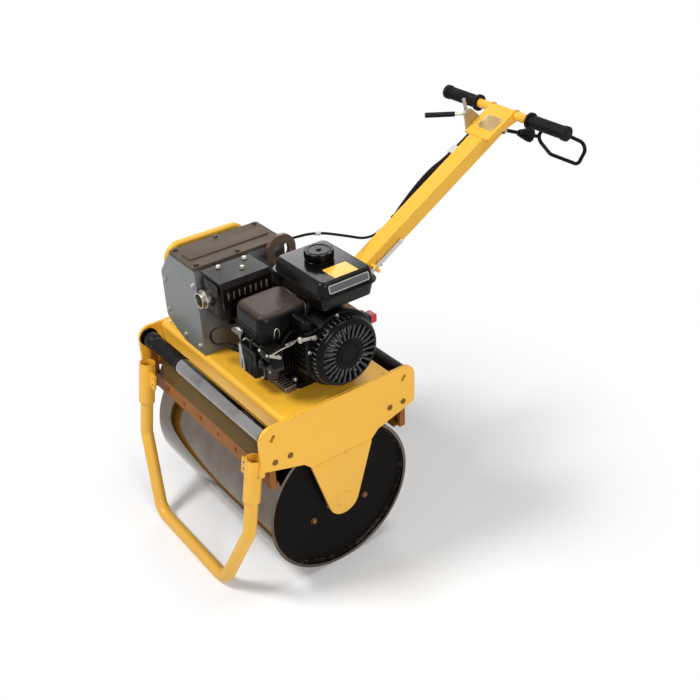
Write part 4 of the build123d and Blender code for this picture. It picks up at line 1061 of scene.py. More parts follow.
@dataclass
class EngineFittings:
    """The engine's small pieces: screws, levers, plug and lead, hoses, louvres and shields.

    Attributes:
        rib_count: Ribs round the recoil cover's rim.
        slots: Slots in its face.
        blades: Blades of the cooling fan behind the cover's slots.
        cover_screws: Where the cover's screws sit round it, in degrees.
        hose: Radius of the fuel and breather hoses.
        lead: Radius of the plug lead.
        plug: Where the spark plug sits.
        plug_way: Direction that it points to.
        cap: Profile of the cap on the plug.
        bare_edge: Outline of the bare strip along the valve cover's edge.
        port: Where the exhaust elbow leaves the muffler.
        muffler_form: Middle of the muffler in X, its depth and its width.
        case_rear: Where the engine case ends at the rear.
        sump: Middle of the sump's foot in X and Y.
        hose_x: Where the fuel hose runs along X.
    """

    rib_count: int = 44
    slots: int = 26
    blades: int = 20
    cover_screws: Spot = (20.0, 95.0, 165.0, 250.0, 320.0)
    hose: float = 3.6
    lead: float = 3.2
    plug: Point = Point(91.0, -116.0, 590.0)
    plug_way: Point = Point(-0.9, -0.42, 0.1)
    cap: Sequence[Pair] = ((0, 11.0), (8.6, 11.0), (9.4, 13.0), (9.4, 17.0), (8.0, 18.5), (8.0, 38.0),
                           (9.0, 40.0), (9.0, 44.0), (5.4, 52.0), (4.6, 60.0), (0, 60.0))
    bare_edge: Sequence[Pair] = ((-6.5, -24.0), (-1.0, -35.0), (14.0, -38.0), (10.0, 8.0), (2.0, 36.0),
                                 (-5.0, 28.0))
    port: Point = Point(41.0, -115.5, 637.0)
    muffler_form: Spot = (-8.0, 136.0, 98.0)
    case_rear: float = 105.0
    sump: Pair = (172.0, -76.5)
    hose_x: float = 206.5

    def build(self) -> None:
        """Fit the engine."""
        self.recoil()
        self.cowl()
        self.head()
        self.plug_and_lead()
        self.carburettor()
        self.tank()
        self.cleaner()
        self.shield()
        self.muffler()
        self.base()
        self.switch()

    def recoil(self) -> None:
        """Fan behind the slots, ribs on the rim, spokes and screws of the recoil cover."""
        cover = solid("recoil_starter")
        _, y, z = cover.mid
        radius, face = cover.size.y / 2, cover.low.x
        centre = seat((cover.high.x, y, z), LEFT)
        hub = [(0, 1.0), (radius - 8.0, 1.0), (radius - 8.0, 2.6), (26.0, 3.4), (26.0, 12.0), (0, 12.0)]
        # The fan's pale grey is a painted highlight showing through the cover's slots
        fan = Stock("cooling_fan").turn(hub, seat((face, y, z), LEFT), 56)
        for k in range(self.blades):
            at = seat((face + 3.0, y, z), LEFT, 360.0 * k / self.blades) @ Matrix.Translation((52.0, 0, 0))
            fan.press(panel(46.0, 2.4, 1.0, 2), 15.0, at @ Matrix.Rotation(radians(24), 4, "Z"))
        fan.place(Shop.FAN)
        # Rim ribs in black plastic lightened with a painted sheen
        ribs = Stock("recoil_rim_ribs")
        for k in range(self.rib_count):
            at = seat((face + 1.0, y, z), LEFT, 360.0 * k / self.rib_count)
            ribs.press(panel(4.6, 4.6, 1.8, 3), 18.0, at @ Matrix.Translation((radius, 0, 0)), 1.2)
        ribs.place(Shop.BLACK_PAINTED_SHEEN)
        collar = Stock("recoil_collar")
        collar.turn(ring(radius - 1.0, radius + 4.2, 3.2), seat((face, y, z), LEFT), 72)
        collar.turn([(23.5, -0.4), (24.5, 0), (26.0, 0), (27.0, -0.4)], centre, 56).place(Shop.PLASTIC)
        # Spokes in black plastic lightened with a painted sheen
        spokes = Stock("recoil_spokes")
        for k in range(self.slots):
            at = centre @ Matrix.Rotation(2 * pi * (k + 0.5) / self.slots, 4, "Z")
            at = at @ Matrix.Translation((0.66 * radius, 0, -2.6))
            spokes.press(panel(0.4 * radius, 4.4, 2.0, 4), 2.6, at, 1.2)
        spokes.place(Shop.BLACK_PAINTED_SHEEN)
        screws = Stock("recoil_screws")
        for angle in self.cover_screws:
            screws.bolt(on_ring((face, y, z), radius + 5.0, radians(angle)), LEFT, 4.6, angle)
        screws.place(Shop.ZINC)

    def cowl(self) -> None:
        """Louvres, throttle lever and the ribs of the pull handle on the fan's cowl."""
        cowl, handle = solid("fan_housing"), solid("recoil_handle")
        louvres = Stock("cowl_louvres")
        for k in range(7):
            at = seat((238.0, cowl.low.y, 604.0 + 14.5 * k), FRONT)
            louvres.press(panel(40.0, 6.0, 2.4, 3), 3.2, at, 1.2)
        louvres.place(Shop.COWL)
        pivot, tip = Vector((cowl.high.x, -45.0, 688.0)), Vector((cowl.high.x, -83.0, 695.0))
        lever = Stock("throttle_lever")
        at = seat((pivot + tip) / 2 + Vector((1.2, 0, 0)), LEFT, 180.0 - 10.4)
        lever.press(panel((tip - pivot).length + 10.0, 9.0, 4.4, 6), 2.4, at, 0.5)
        lever.press(panel(10.0, 15.0, 4.0), 8.0, seat(tip + Vector((-2.8, 1.0, 0)), LEFT), 1.6)
        lever.bolt(pivot + Vector((3.4, 0, 0)), LEFT, 6.0).place(Shop.ZINC)
        ribs, (wide, long, _) = Stock("recoil_handle_ribs"), handle.size
        for rise in (8.0, 12.5):
            at = seat((handle.mid.x, handle.mid.y, handle.low.z + rise))
            ribs.band(panel(wide + 1.6, long + 1.6, 13.6, 8), panel(wide - 1, long - 1, 12.0, 8), 2.2, at)
        ribs.place(Shop.PLASTIC)

    def head(self) -> None:
        """Flange, ribs, bare edge, screws and breather of the valve cover."""
        cover = solid("valve_cover")
        (x, _, z), root, front = cover.mid, cover.high.y, cover.low.y
        flange = Stock("valve_cover_flange")
        flange.press(panel(84.0, 86.0, 15.0), 4.0, seat((x, root, z), FRONT), 0.8).place(Shop.ALLOY)
        ribs = Stock("valve_cover_ribs")
        ribs.press(panel(46.0, 22.0, 9.0), 2.0, seat((x, front + 0.6, z + 14.0), FRONT), 0.8)
        for shift in (-26.0, -12.0, 12.0, 26.0):
            at = seat((x + shift, front + 0.8, z - 20.0), FRONT)
            ribs.press(panel(5.0, 30.0, 2.2, 3), 2.4, at, 1.0)
        ribs.place(Shop.CASTING)
        bare = Stock("valve_cover_edge")
        bare.press(self.bare_edge, 1.8, seat((cover.low.x + 8.0, front + 0.4, z), FRONT), 0.6)
        bare.place(Shop.BARE)
        screws = Stock("head_screws")
        for right in (-33.0, 33.0):
            for up in (-35.0, 35.0):
                screws.bolt((x + right, root - 4.0, z + up), FRONT, 5.0, right + up)
        screws.place(Shop.ZINC)
        run = [(152, front + 8, 640), (152, front + 3, 652), (150, front + 9, 662), (146, front + 22, 669)]
        Stock("breather_hose").bend(run, self.hose + 1.0).place(Shop.RUBBER)

    def plug_and_lead(self) -> None:
        """Spark plug, its cap and the lead that loops up behind the air cleaner."""
        way = Vector(self.plug_way).normalized()
        at = seat(self.plug, way)
        plug = Stock("spark_plug").turn([(0, 0), (9.0, 0), (9.0, 2.5), (5.5, 2.5)], at)
        plug.turn([(9.6, 2.5), (9.6, 12.0), (8.4, 13.0), (0, 13.0)], at, 6).place(Shop.ZINC)
        end = Vector(self.plug) + way * 56.0
        run = [end, end + way * 16.0, (-4, -151, 580), (-30, -151, 582), (-22, -152, 610), (8, -153, 634),
               (44, -152, 656), (74, -148, 668), (98, -130, 676)]
        Stock("plug_cap").turn(self.cap, at).bend(run, self.lead).place(Shop.RUBBER)

    def carburettor(self) -> None:
        """Covers, choke and throttle arms, linkage, bowl nut and fuel hose."""
        body = solid("carburettor")
        (x, y, _), left, front = body.mid, body.high.x, body.low.y
        dark = Stock("carburettor_cover")
        dark.press(panel(30.0, 40.0, 5.0), 5.0, seat((left, y, 640.0), LEFT), 1.5)
        dark.press(panel(46.0, 26.0, 6.0), 4.0, seat((x, front, 650.0), FRONT), 1.2)
        dark.turn(ring(0.1, 11.5, 9.0), seat((x - 8.0, front, 624.0), FRONT))
        dark.press(panel(32.0, 8.0, 3.6), 6.0, seat((x + 2.0, front - 8.0, 624.0), FRONT, 24.0), 1.5)
        dark.place(Shop.PLASTIC)
        bright = Stock("carburettor_linkage")
        nut = [(0, -7.0), (4.5, -7.0), (5.0, -6.0), (5.0, 0), (9.0, 0), (9.0, 2.0)]
        bright.turn(nut, seat((x, y, body.low.z)), 6)
        bright.press(panel(36.0, 8.0, 3.9), 2.0, seat((left + 6.0, y - 8.0, 655.0), LEFT, 150.0), 0.5)
        bright.bolt((left + 5.0, y, 652.0), LEFT, 4.5)
        bright.bend([(left + 8, y - 18, 664), (left + 10, y + 10, 672), (left + 8, -82, 668),
                     (left + 6, -70, 676)], 1.3)
        coil, step = 3.2, 0.9
        spring = [(left + 4 + coil * cos(step * k), y + 22 + 0.55 * k, 672 + coil * sin(step * k))
                  for k in range(48)]
        bright.bend(spring, 0.7, 1)
        for k, spot in enumerate((body.low.x + 6.0, left - 6.0)):
            bright.bolt((spot, front - 4.0, 657.0), FRONT, 4.0, 20.0 * k)
            bright.bolt((spot, front, 612.0), FRONT, 3.4, 35.0 * k)
        bright.place(Shop.ZINC)
        hose, x = Stock("fuel_hose"), self.hose_x
        hose.bend([(x, -14, 743), (x, -16, 722), (x, -44, 694), (x, -82, 676), (x, -97, 652), (x, -104, 640),
                   (x, -110, 640)], self.hose)
        for spot, way in (((x, -14.5, 734), (0, -0.05, -1)), ((x, -98, 646), (0, -0.5, -0.85))):
            hose.turn(ring(self.hose - 0.4, self.hose + 1.6, 5.0, 0.5), seat(spot, way), 20)
        hose.place(Shop.RUBBER)

    def tank(self) -> None:
        """Framed band on the near side, plain panel, seam bead, cap and strap screws."""
        tank, cap, strap = solid("fuel_tank"), solid("fuel_cap"), solid("tank_strap")
        (x, y, _), left, top = tank.mid, tank.high.x, tank.high.z
        slant = radians(14.0)
        face = Vector((cos(slant), 0, sin(slant)))
        spot = Vector((left - 5.0 - 14.0 * sin(slant) / cos(slant), y, top - 16.5))
        at = seat(spot - face * 0.2, face)
        frame = Stock("tank_band_frame").band(panel(112.0, 20.0, 4.0), panel(107.0, 15.5, 2.5), 1.2, at)
        frame.place(Shop.ZINC)
        Stock("tank_band").press(panel(108.0, 16.5, 2.8), 0.7, at).place(Shop.BAND)
        at = seat((left - 46.0, y + 4.0, top - 0.1))
        Stock("tank_panel").press(panel(50.0, 66.0, 3.0), 0.5, at).place(Shop.YELLOW)
        at = seat((x, y, tank.low.z + 35.6))
        bead = Stock("tank_seam").band(panel(213.4, 167.4, 26.6, 8), panel(208.0, 162.0, 24.0, 8), 1.8, at)
        bead.place(Shop.TANK)
        at = seat((cap.mid.x, cap.mid.y, cap.high.z))
        trim = Stock("fuel_cap_top").turn([(24.0, 0), (25.0, 1.4), (27.0, 1.4), (28.0, 0)], at, 48)
        trim.turn([(6.5, 0), (6.0, 1.8), (4.5, 2.6), (0, 2.6)], at)
        trim.turn(ring(27.5, 34.0, 3.0), seat((cap.mid.x, cap.mid.y, top)), 48).place(Shop.PLASTIC)
        screws, level = Stock("strap_screws"), strap.low.z + 4.0
        for x in (strap.low.x + 12.0, strap.high.x - 12.0):
            for y, spin in ((strap.high.y - 8.0, x), (strap.low.y + 8.0, -x)):
                screws.bolt((x, y, level), UP, 6.0, spin)
        screws.place(Shop.ZINC)

    def cleaner(self) -> None:
        """Lid seam, body ribs and spring clips of the air cleaner."""
        cover = solid("air_cleaner")
        (mid_x, mid_y, _), (wide, long, _), base = cover.mid, cover.size, cover.low.z
        trim = Stock("cleaner_trim")
        trim.band(panel(wide + 2.4, long + 2.4, 27.0, 8), panel(wide - 6, long - 6, 23.0, 8), 4.0,
                  seat((mid_x, mid_y, base + 24.5)))
        body = panel(wide - 12.0, long - 12.0, 22.0, 3)
        for (x, y), (x_next, y_next) in zip(body, body[1:] + body[:1]):
            run = (x_next - x, y_next - y)
            for share in (0.0, 0.5) if hypot(*run) < 20 else (0.1, 0.26, 0.42, 0.58, 0.74, 0.9):
                spot = (mid_x + x + run[0] * share, mid_y + y + run[1] * share, base)
                trim.turn([(0, 1.0), (2.2, 1.0), (2.2, 22.0), (0, 23.5)], seat(spot), 8)
        trim.place(Shop.PLASTIC)
        clips = Stock("cleaner_clips")
        wire = ((-6, -7, 8), (1.6, -7, 16), (2.6, -7, 32), (1.4, 0, 40), (2.6, 7, 32), (1.6, 7, 16),
                (-6, 7, 8))
        for y in (mid_y - 30.0, mid_y + 30.0):
            clips.bend([(cover.high.x + out, y + along, base + up) for out, along, up in wire], 1.3)
        clips.place(Shop.ZINC)

    def shield(self) -> None:
        """Screws and louvres of the muffler's shield, and the elbow from the head."""
        cover = solid("muffler_shield")
        top, near = cover.high.z, cover.high.x
        screws = Stock("shield_screws")
        for x, y in ((-38.0, -103.0), (0.0, -60.0), (-38.0, -30.0)):
            screws.bolt((x, y, top), UP, 6.0, x)
        screws.place(Shop.ZINC)
        louvres = Stock("shield_louvres")
        for k in range(8):
            y = cover.mid.y + (k - 3.5) * cover.size.y / 9
            at = seat((near - 1.6, y, top - 34.5), LEFT) @ Matrix.Rotation(radians(28), 4, "Y")
            louvres.press(panel(3.4, 19.0, 1.6, 4), 1.6, at, 0.4)
        louvres.place(Shop.ZINC)
        (x, y, z), rim = self.port, 44.0
        pipe = [(11.2, 0), (13.0, 0), (13.0, 26.0), (12.2, 28.0), (12.2, rim), (19.0, rim), (19.0, 51.0)]
        elbow = Stock("exhaust_elbow").turn(pipe, seat(self.port, LEFT), 32)
        for shift in (-15.0, 15.0):
            elbow.bolt((x + rim, y + shift, z), RIGHT, 4.0, shift)
        elbow.place(Shop.ALLOY)

    def muffler(self) -> None:
        """Seams and perforated end plate of the muffler, and the outlet's clamp and screen."""
        can, outlet = solid("muffler"), solid("exhaust_outlet")
        front, top = can.low.y, can.high.z
        x, depth, width = self.muffler_form
        outer, inner = panel(width + 3.0, depth + 3.0, 29.0, 8), panel(width - 4.0, depth - 4.0, 25.0, 8)
        seams = Stock("muffler_seams")
        for drop in (56.0, 30.0):
            seams.band(outer, inner, 3.4, seat((x, front + depth / 2, top - drop)))
        seams.place(Shop.HEAT)
        spot = Vector((-4.0, front - 0.4, top - 22.0))
        plate = Stock("muffler_end_plate").press(panel(62.0, 30.0, 6.0), 2.0, seat(spot, FRONT), 0.5)
        plate.place(Shop.DARK_STEEL)
        # The holes are dark dots, not cut: painted shade of their depth, with soot
        holes = Stock("muffler_end_holes")
        for row in range(3):
            for column in range(8):
                shift = Vector((-24.5 + 7.0 * column, -1.8, -8.0 + 8.0 * row))
                holes.turn([(0, 0.4), (1.9, 0.4), (2.6, 0)], seat(spot + shift, FRONT), 12)
        holes.place(Shop.SOOT_AND_PAINTED_SHADE)
        (x, _, z), root = outlet.mid, outlet.high.y
        at = seat((x, root - 6.0, z), FRONT)
        clamp = Stock("outlet_clamp").turn(ring(19.6, 23.0, 7.0), at, 40)
        clamp.bolt((x + 23.0, root - 9.5, z + 4.0), UP, 4.0).place(Shop.ZINC)
        Stock("outlet_screen").turn([(0, 0), (17.2, 0), (17.2, 1.0), (0, 3.0)], at, 32).place(Shop.SOOT_AND_PAINTED_SHADE)

    def base(self) -> None:
        """Ribbed sump foot, oil fillers and case screws."""
        top = solid("deck").high.z
        x, y = self.sump
        foot = Stock("sump_foot").press(panel(72.0, 34.0, 6.0), 6.0, seat((x, y, top)), 1.5)
        for k in range(7):
            foot.press(panel(5.4, 34.0, 2.4, 3), 14.0, seat((x - 29.0 + 9.7 * k, y, top)), 1.8)
        foot.place(Shop.SUMP)
        neck = [(0, -2), (13.0, -2), (13.0, 6), (11.0, 7), (11.0, 9), (15.0, 10), (15.5, 12), (15.5, 20),
                (14.0, 21.5), (0, 21.5)]
        filler, level = Stock("oil_fillers"), top + 30.0
        for x, y, axis in ((96.0, self.case_rear, REAR), (110.0, -45.0, FRONT)):
            filler.turn(neck, seat((x, y, level), axis))
            filler.press(panel(24.0, 5.0, 2.0), 6.0, seat((x, y + axis.y * 20.5, level), axis), 1.5)
        filler.place(Shop.PLASTIC)
        screws = Stock("case_screws")
        for x in (82.0, 138.0, 194.0):
            for rise, spin in ((112.0, x), (70.0, -x)):
                screws.bolt((x, self.case_rear, top + rise), REAR, 6.0, spin)
        for k in range(6):
            angle = 2 * pi * k / 6
            spot = (65.0, 30.0 + 44.0 * cos(angle), top + 106.0 + 44.0 * sin(angle) * 0.4 - 14.0)
            screws.bolt(spot, RIGHT, 5.0)
        screws.place(Shop.ZINC)

    def switch(self) -> None:
        """Lead and collar of the engine switch."""
        switch = solid("engine_switch")
        (x, _, z), base = switch.mid, switch.low
        start = (switch.high.x - 12, switch.high.y - 12, base.z + 2)
        lead = Stock("switch_lead")
        lead.bend([start, (start[0], switch.high.y - 8, base.z - 18), (222, 134, 600), (204, 120, 578),
                   (192, 108, 572)], 2.4)
        lead.turn(ring(2.2, 5.4, 9.0), seat(start, (0, 0.1, -1)), 20).place(Shop.RUBBER)
        collar = Stock("switch_collar")
        collar.band(panel(27.0, 26.0, 5.0), panel(21.5, 21.5, 4.0), 3.0, seat((x, base.y + 1.0, z), REAR))
        collar.place(Shop.PLASTIC)


@dataclass
class GuardFittings:
    """Lid ridge, screws and feet of the drive guard, and the clutch's bands.

    Attributes:
        ridge: Width and height of the lid's raised middle.
        thread: Thread of the guard's screws.
        wall_screws: Where the wall screws lie in X and Z.
        feet: Where the feet lie in X.
    """

    ridge: Pair = (44.0, 4.0)
    thread: float = 6.0
    wall_screws: Sequence[Pair] = ((-228.0, 585.0), (-228.0, 672.0), (-78.0, 545.0), (-78.0, 715.0),
                                   (-150.0, 545.0))
    feet: Pair = (-142.0, -84.0)

    def build(self) -> None:
        """Fit the guard."""
        lid, guard, clutch = solid("guard_lid"), solid("drive_guard"), solid("clutch_housing")
        ridge, at = Stock("lid_ridge"), seat((lid.mid.x, lid.mid.y, lid.high.z - 0.2))
        ridge.press(panel(self.ridge[0], lid.size.y - 26.0, 10.0), self.ridge[1], at, 1.6).place(Shop.LID)
        screws = Stock("lid_screws")
        for x in (lid.low.x + 11.0, lid.high.x - 11.0):
            for y in (lid.low.y + 14.0, lid.mid.y, lid.high.y - 14.0):
                screws.bolt((x, y, lid.high.z), UP, self.thread, 3 * x + y)
        screws.place(Shop.DARK_STEEL)
        screws, rear = Stock("guard_wall_screws"), guard.high.y
        for x, z in self.wall_screws:
            screws.bolt((x, guard.low.y, z), FRONT, self.thread, x).bolt((x, rear, z), REAR, self.thread, z)
        screws.place(Shop.ZINC)
        base = solid("deck").high.z
        feet, screws = Stock("guard_feet"), Stock("guard_foot_screws")
        for x in self.feet:
            feet.press(panel(30.0, 24.0, 5.0), 3.0, seat((x, rear + 12.0, base)), 0.8)
            feet.press(panel(30.0, 26.0, 5.0), 3.0, seat((x, rear, base + 13.0), REAR), 0.8)
            screws.bolt((x, rear + 15.0, base + 3.0), UP, self.thread, x)
        feet.place(Shop.GREY)
        screws.place(Shop.ZINC)
        bands, (x, y, z) = Stock("clutch_bands"), clutch.mid
        for start, size in ((clutch.low.x, 44.0), (clutch.high.x - 8.0, 50.0), (x - 5.0, 39.0)):
            bands.turn(ring(34.0, size, 8.0, 1.4), seat((start, y, z), LEFT), 48)
        bands.place(Shop.CASTING)


@dataclass
class DrawbarFittings:
    """The drawbar's ribs, welds, blank plate, cable ends, bellows and lock collars.

    Attributes:
        pivot: Place of the pivot in Y and Z.
        slope: Slope of the drawbar at rest, in degrees.
        top: Rise of the tube's top over its middle line.
        bar: Place of the handlebar along the drawbar and square to it.
        bar_half: Half the handlebar's length.
        grip_start: Where a grip's ribs start, from the middle.
        grip_rib: Profile of one rib on a handle grip.
        rib_count: Ribs on one grip.
        rib_pitch: Their spacing.
        stem: Where the travel loop's stem leaves the head: along, rise and across.
        stem_end: Where the stem meets the loop.
        cable_rises: Rises of the two control cables.
        cable_x: Where they lie across the drawbar.
        lock_line: Rise of the lock rod and where it lies across.
    """

    pivot: Pair = (165.0, 566.0)
    slope: float = 30.5
    top: float = 20.0
    bar: Pair = (730.0, 7.0)
    bar_half: float = 226.0
    grip_start: float = 107.0
    grip_rib: Sequence[Pair] = ((16.2, 0), (17.5, 0.6), (17.5, 2.2), (16.2, 2.8))
    rib_count: int = 20
    rib_pitch: float = 5.2
    stem: Point = Point(686.0, -8.0, 30.0)
    stem_end: Point = Point(63.0, 864.0, 871.0)
    cable_rises: Pair = (2.0, 13.0)
    cable_x: float = -34.0
    lock_line: Pair = (-4.0, 38.0)

    @property
    def way(self) -> Vector:
        """Direction along the drawbar, away from the pivot."""
        return Vector((0, cos(radians(self.slope)), sin(radians(self.slope))))

    @property
    def up(self) -> Vector:
        """Direction square to the drawbar's top."""
        return Vector((0, -sin(radians(self.slope)), cos(radians(self.slope))))

    def spot(self, along: float, rise: float, x: float) -> Vector:
        """A place given along the drawbar, square to it and across it."""
        return Vector((x, *self.pivot)) + self.way * along + self.up * rise

    def build(self) -> None:
        """Fit the drawbar."""
        self.tube()
        self.grips()
        self.controls()
        self.cables()
        self.lock()

    def tube(self) -> None:
        """Pivot nuts, weld round the head, blank plate and its rivets."""
        nuts, seam = Stock("pivot_nuts"), Stock("head_weld")
        for side in (-1, 1):
            nuts.bolt((side * 44.0, *self.pivot), (side, 0, 0), 12.0, 9.0)
            seam.weld(self.spot(626.0, self.top, side * 25.0), self.spot(694.0, self.top, side * 25.0), 3.0)
        nuts.place(Shop.ZINC)
        seam.weld(self.spot(622.0, self.top, -40.0), self.spot(622.0, self.top, 40.0), 2.6)
        seam.place(Shop.YELLOW, Body.DRAWBAR)
        plate = Stock("blank_plate")
        plate.press(panel(58.0, 46.0, 5.0), 0.9, seat(self.spot(672.0, self.top + 3.0, 6.0), self.up), 0.3)
        plate.place(Shop.PLATE, Body.DRAWBAR)
        rivets, dome = Stock("plate_rivets"), [(2.4, 0), (2.2, 0.9), (1.3, 1.5), (0, 1.7)]
        for x in (-19.0, 31.0):
            for along in (653.0, 691.0):
                rivets.turn(dome, seat(self.spot(along, self.top + 3.8, x), self.up), 16)
        rivets.place(Shop.ZINC, Body.DRAWBAR)

    def grips(self) -> None:
        """Ribs along both handle grips and the plugs in the bar's ends."""
        ribs, plug = Stock("handle_grip_ribs"), [(13.5, 0), (13.0, 1.2), (8.0, 1.8), (0, 1.8)]
        for side in (-1, 1):
            axis = (side, 0, 0)
            for k in range(self.rib_count):
                x = side * (self.grip_start + self.rib_pitch * k)
                ribs.turn(self.grip_rib, seat(self.spot(*self.bar, x), axis), 32)
            ribs.turn(plug, seat(self.spot(*self.bar, side * self.bar_half), axis), 32)
        ribs.place(Shop.RUBBER, Body.DRAWBAR)

    def controls(self) -> None:
        """Bellows over the travel stem, and the pins of the levers."""
        start = self.spot(*self.stem)
        way = Vector(self.stem_end) - start
        profile: list[Pair] = [(5.4, 0), (8.6, 0), (9.4, 2.5)]
        for k in range(6):
            wide = 10.5 + 1.5 * k
            profile += [(wide, 4.5 + 5.0 * k), (wide - 2.4, 7.0 + 5.0 * k)]
        profile += [(19.4, 34.5), (19.6, 40.5), (18.0, 42.0), (5.4, 42.0)]
        bellows = Stock("travel_bellows").turn(profile, seat(start + way * 0.42, way), 32)
        bellows.place(Shop.RUBBER, Body.DRAWBAR, ("travel_boot",), 30.0)
        pins = Stock("control_pins")
        pins.bolt(self.spot(self.stem.x, self.stem.y, 35.0), LEFT, 6.0)
        pins.bolt(self.spot(656.0, 52.0, -59.0), RIGHT, 7.0)
        for along in (636.0, 676.0):
            pins.bolt(self.spot(along, 17.0, -49.0), RIGHT, 5.0, along)
        pins.place(Shop.ZINC, Body.DRAWBAR)

    def cables(self) -> None:
        """Smooth cable runs, adjusters, grommets and clamp screws."""
        runs, ends, grommets = Stock("cable_runs"), Stock("cable_adjusters"), Stock("cable_grommets")
        thread: list[Pair] = [(0, 0), (4.6, 0.0)]
        for k in range(12):
            thread += [(5.3, 0.6 + 2.0 * k), (4.6, 1.6 + 2.0 * k)]
        nut = [(4.0, 0), (7.4, 0.4), (7.4, 5.0), (4.0, 5.4)]
        boot = [(4.0, 0), (9.0, 0), (9.0, 2.0), (6.4, 5.0), (4.0, 5.4)]
        for rise in self.cable_rises:
            x = self.cable_x
            runs.bend([self.spot(646, rise, x), self.spot(540, rise, x), self.spot(470, rise + 6, x - 12),
                       self.spot(350, rise, x - 4), self.spot(306, rise, -24.6)], 4.4)
            ends.turn([*thread, (0, 25.0)], seat(self.spot(632.0, rise, x), self.way), 20)
            ends.turn(nut, seat(self.spot(640.0, rise, x), self.way), 6)
            grommets.turn(boot, seat(self.spot(308.0, rise, -25.0), RIGHT))
        runs.place(Shop.RUBBER, Body.DRAWBAR, ("control_cables",))
        for along in (551.0, 569.0):
            ends.bolt(self.spot(along, 7.5, -43.0), RIGHT, 4.5, along)
        ends.place(Shop.ZINC, Body.DRAWBAR)
        grommets.place(Shop.RUBBER, Body.DRAWBAR)

    def lock(self) -> None:
        """Collars and rounded end of the lock rod."""
        collars, tip = Stock("lock_collars"), [(5.5, 0), (5.0, 2.4), (3.2, 4.4), (0, 5.2)]
        for along in (122.0, 182.0):
            collars.turn(ring(5.6, 8.6, 5.0), seat(self.spot(along, *self.lock_line), self.way), 28)
        collars.turn(tip, seat(self.spot(268.0, *self.lock_line), self.way), 28)
        collars.place(Shop.CHROME, Body.DRAWBAR)


@dataclass
class ThrottleLine:
    """The throttle cable that bends between the guard and the drawbar.

    Attributes:
        drawbar: The drawbar that its upper end is clipped to.
        radius: Radius of its sheath.
        gland: Profile of the rubber gland in the guard's wall.
        exit: Where the cable leaves the guard.
        tag_near: The white tag goes where the cable passes nearest to this place.
        across: Where the cable lies across the drawbar.
    """

    drawbar: DrawbarFittings
    radius: float = 3.5
    gland: Sequence[Pair] = ((3.6, 0), (10.5, 0), (10.5, 5.0), (7.6, 6.0), (6.4, 13.0), (4.4, 21.0),
                             (3.6, 21.0))
    exit: Point = Point(-78, 102, 748)
    tag_near: Point = Point(-44, 184, 757)
    across: float = -29.5

    def build(self) -> None:
        """Run the cable, its tag, its gland and its clip."""
        bar, x = self.drawbar, self.across
        route = [Vector(self.exit), Vector((-78, 136, 748)), Vector((-43.5, 188, 760)),
                 Vector((-32.5, 266, 730)), bar.spot(222, 16, x), bar.spot(262, 12, x)]
        cable = Stock("throttle_line").bend(route, self.radius)
        self.bridge(cable.place(Shop.RUBBER, None, ("throttle_cable",)))
        line = Stock.route(route)
        middle = min(range(len(line) - 1), key=lambda k: (line[k] - Vector(self.tag_near)).length)
        sleeve = [(self.radius, 0), (5.2, 0.4), (5.2, 13.6), (self.radius, 14.0)]
        tag = Stock("throttle_tag").turn(sleeve, seat(line[middle], line[middle + 1] - line[middle]), 20)
        self.bridge(tag.place(Shop.WHITE, None))
        Stock("throttle_gland").turn(self.gland, seat(self.exit, REAR)).place(Shop.RUBBER)
        clip = Stock("throttle_clip").turn(ring(3.4, 5.4, 12.0, 0.4), seat(bar.spot(244.0, 13.6, x), bar.way))
        clip.press(panel(10.0, 16.0, 3.0), 2.0, seat(bar.spot(250.0, 4.0, -25.0), RIGHT), 0.4)
        clip.bolt(bar.spot(250.0, 1.0, -27.0), RIGHT, 4.0).place(Shop.ZINC, Body.DRAWBAR)

    def bridge(self, piece: bpy.types.Object) -> None:
        """Bake a piece's place into its mesh; it rides on no body."""
        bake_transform(piece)


class Lamp(NamedTuple):
    """A soft round lamp: its name, place in metres, width in metres and power in watts."""

    name: str
    spot: Point
    size: float
    power: float


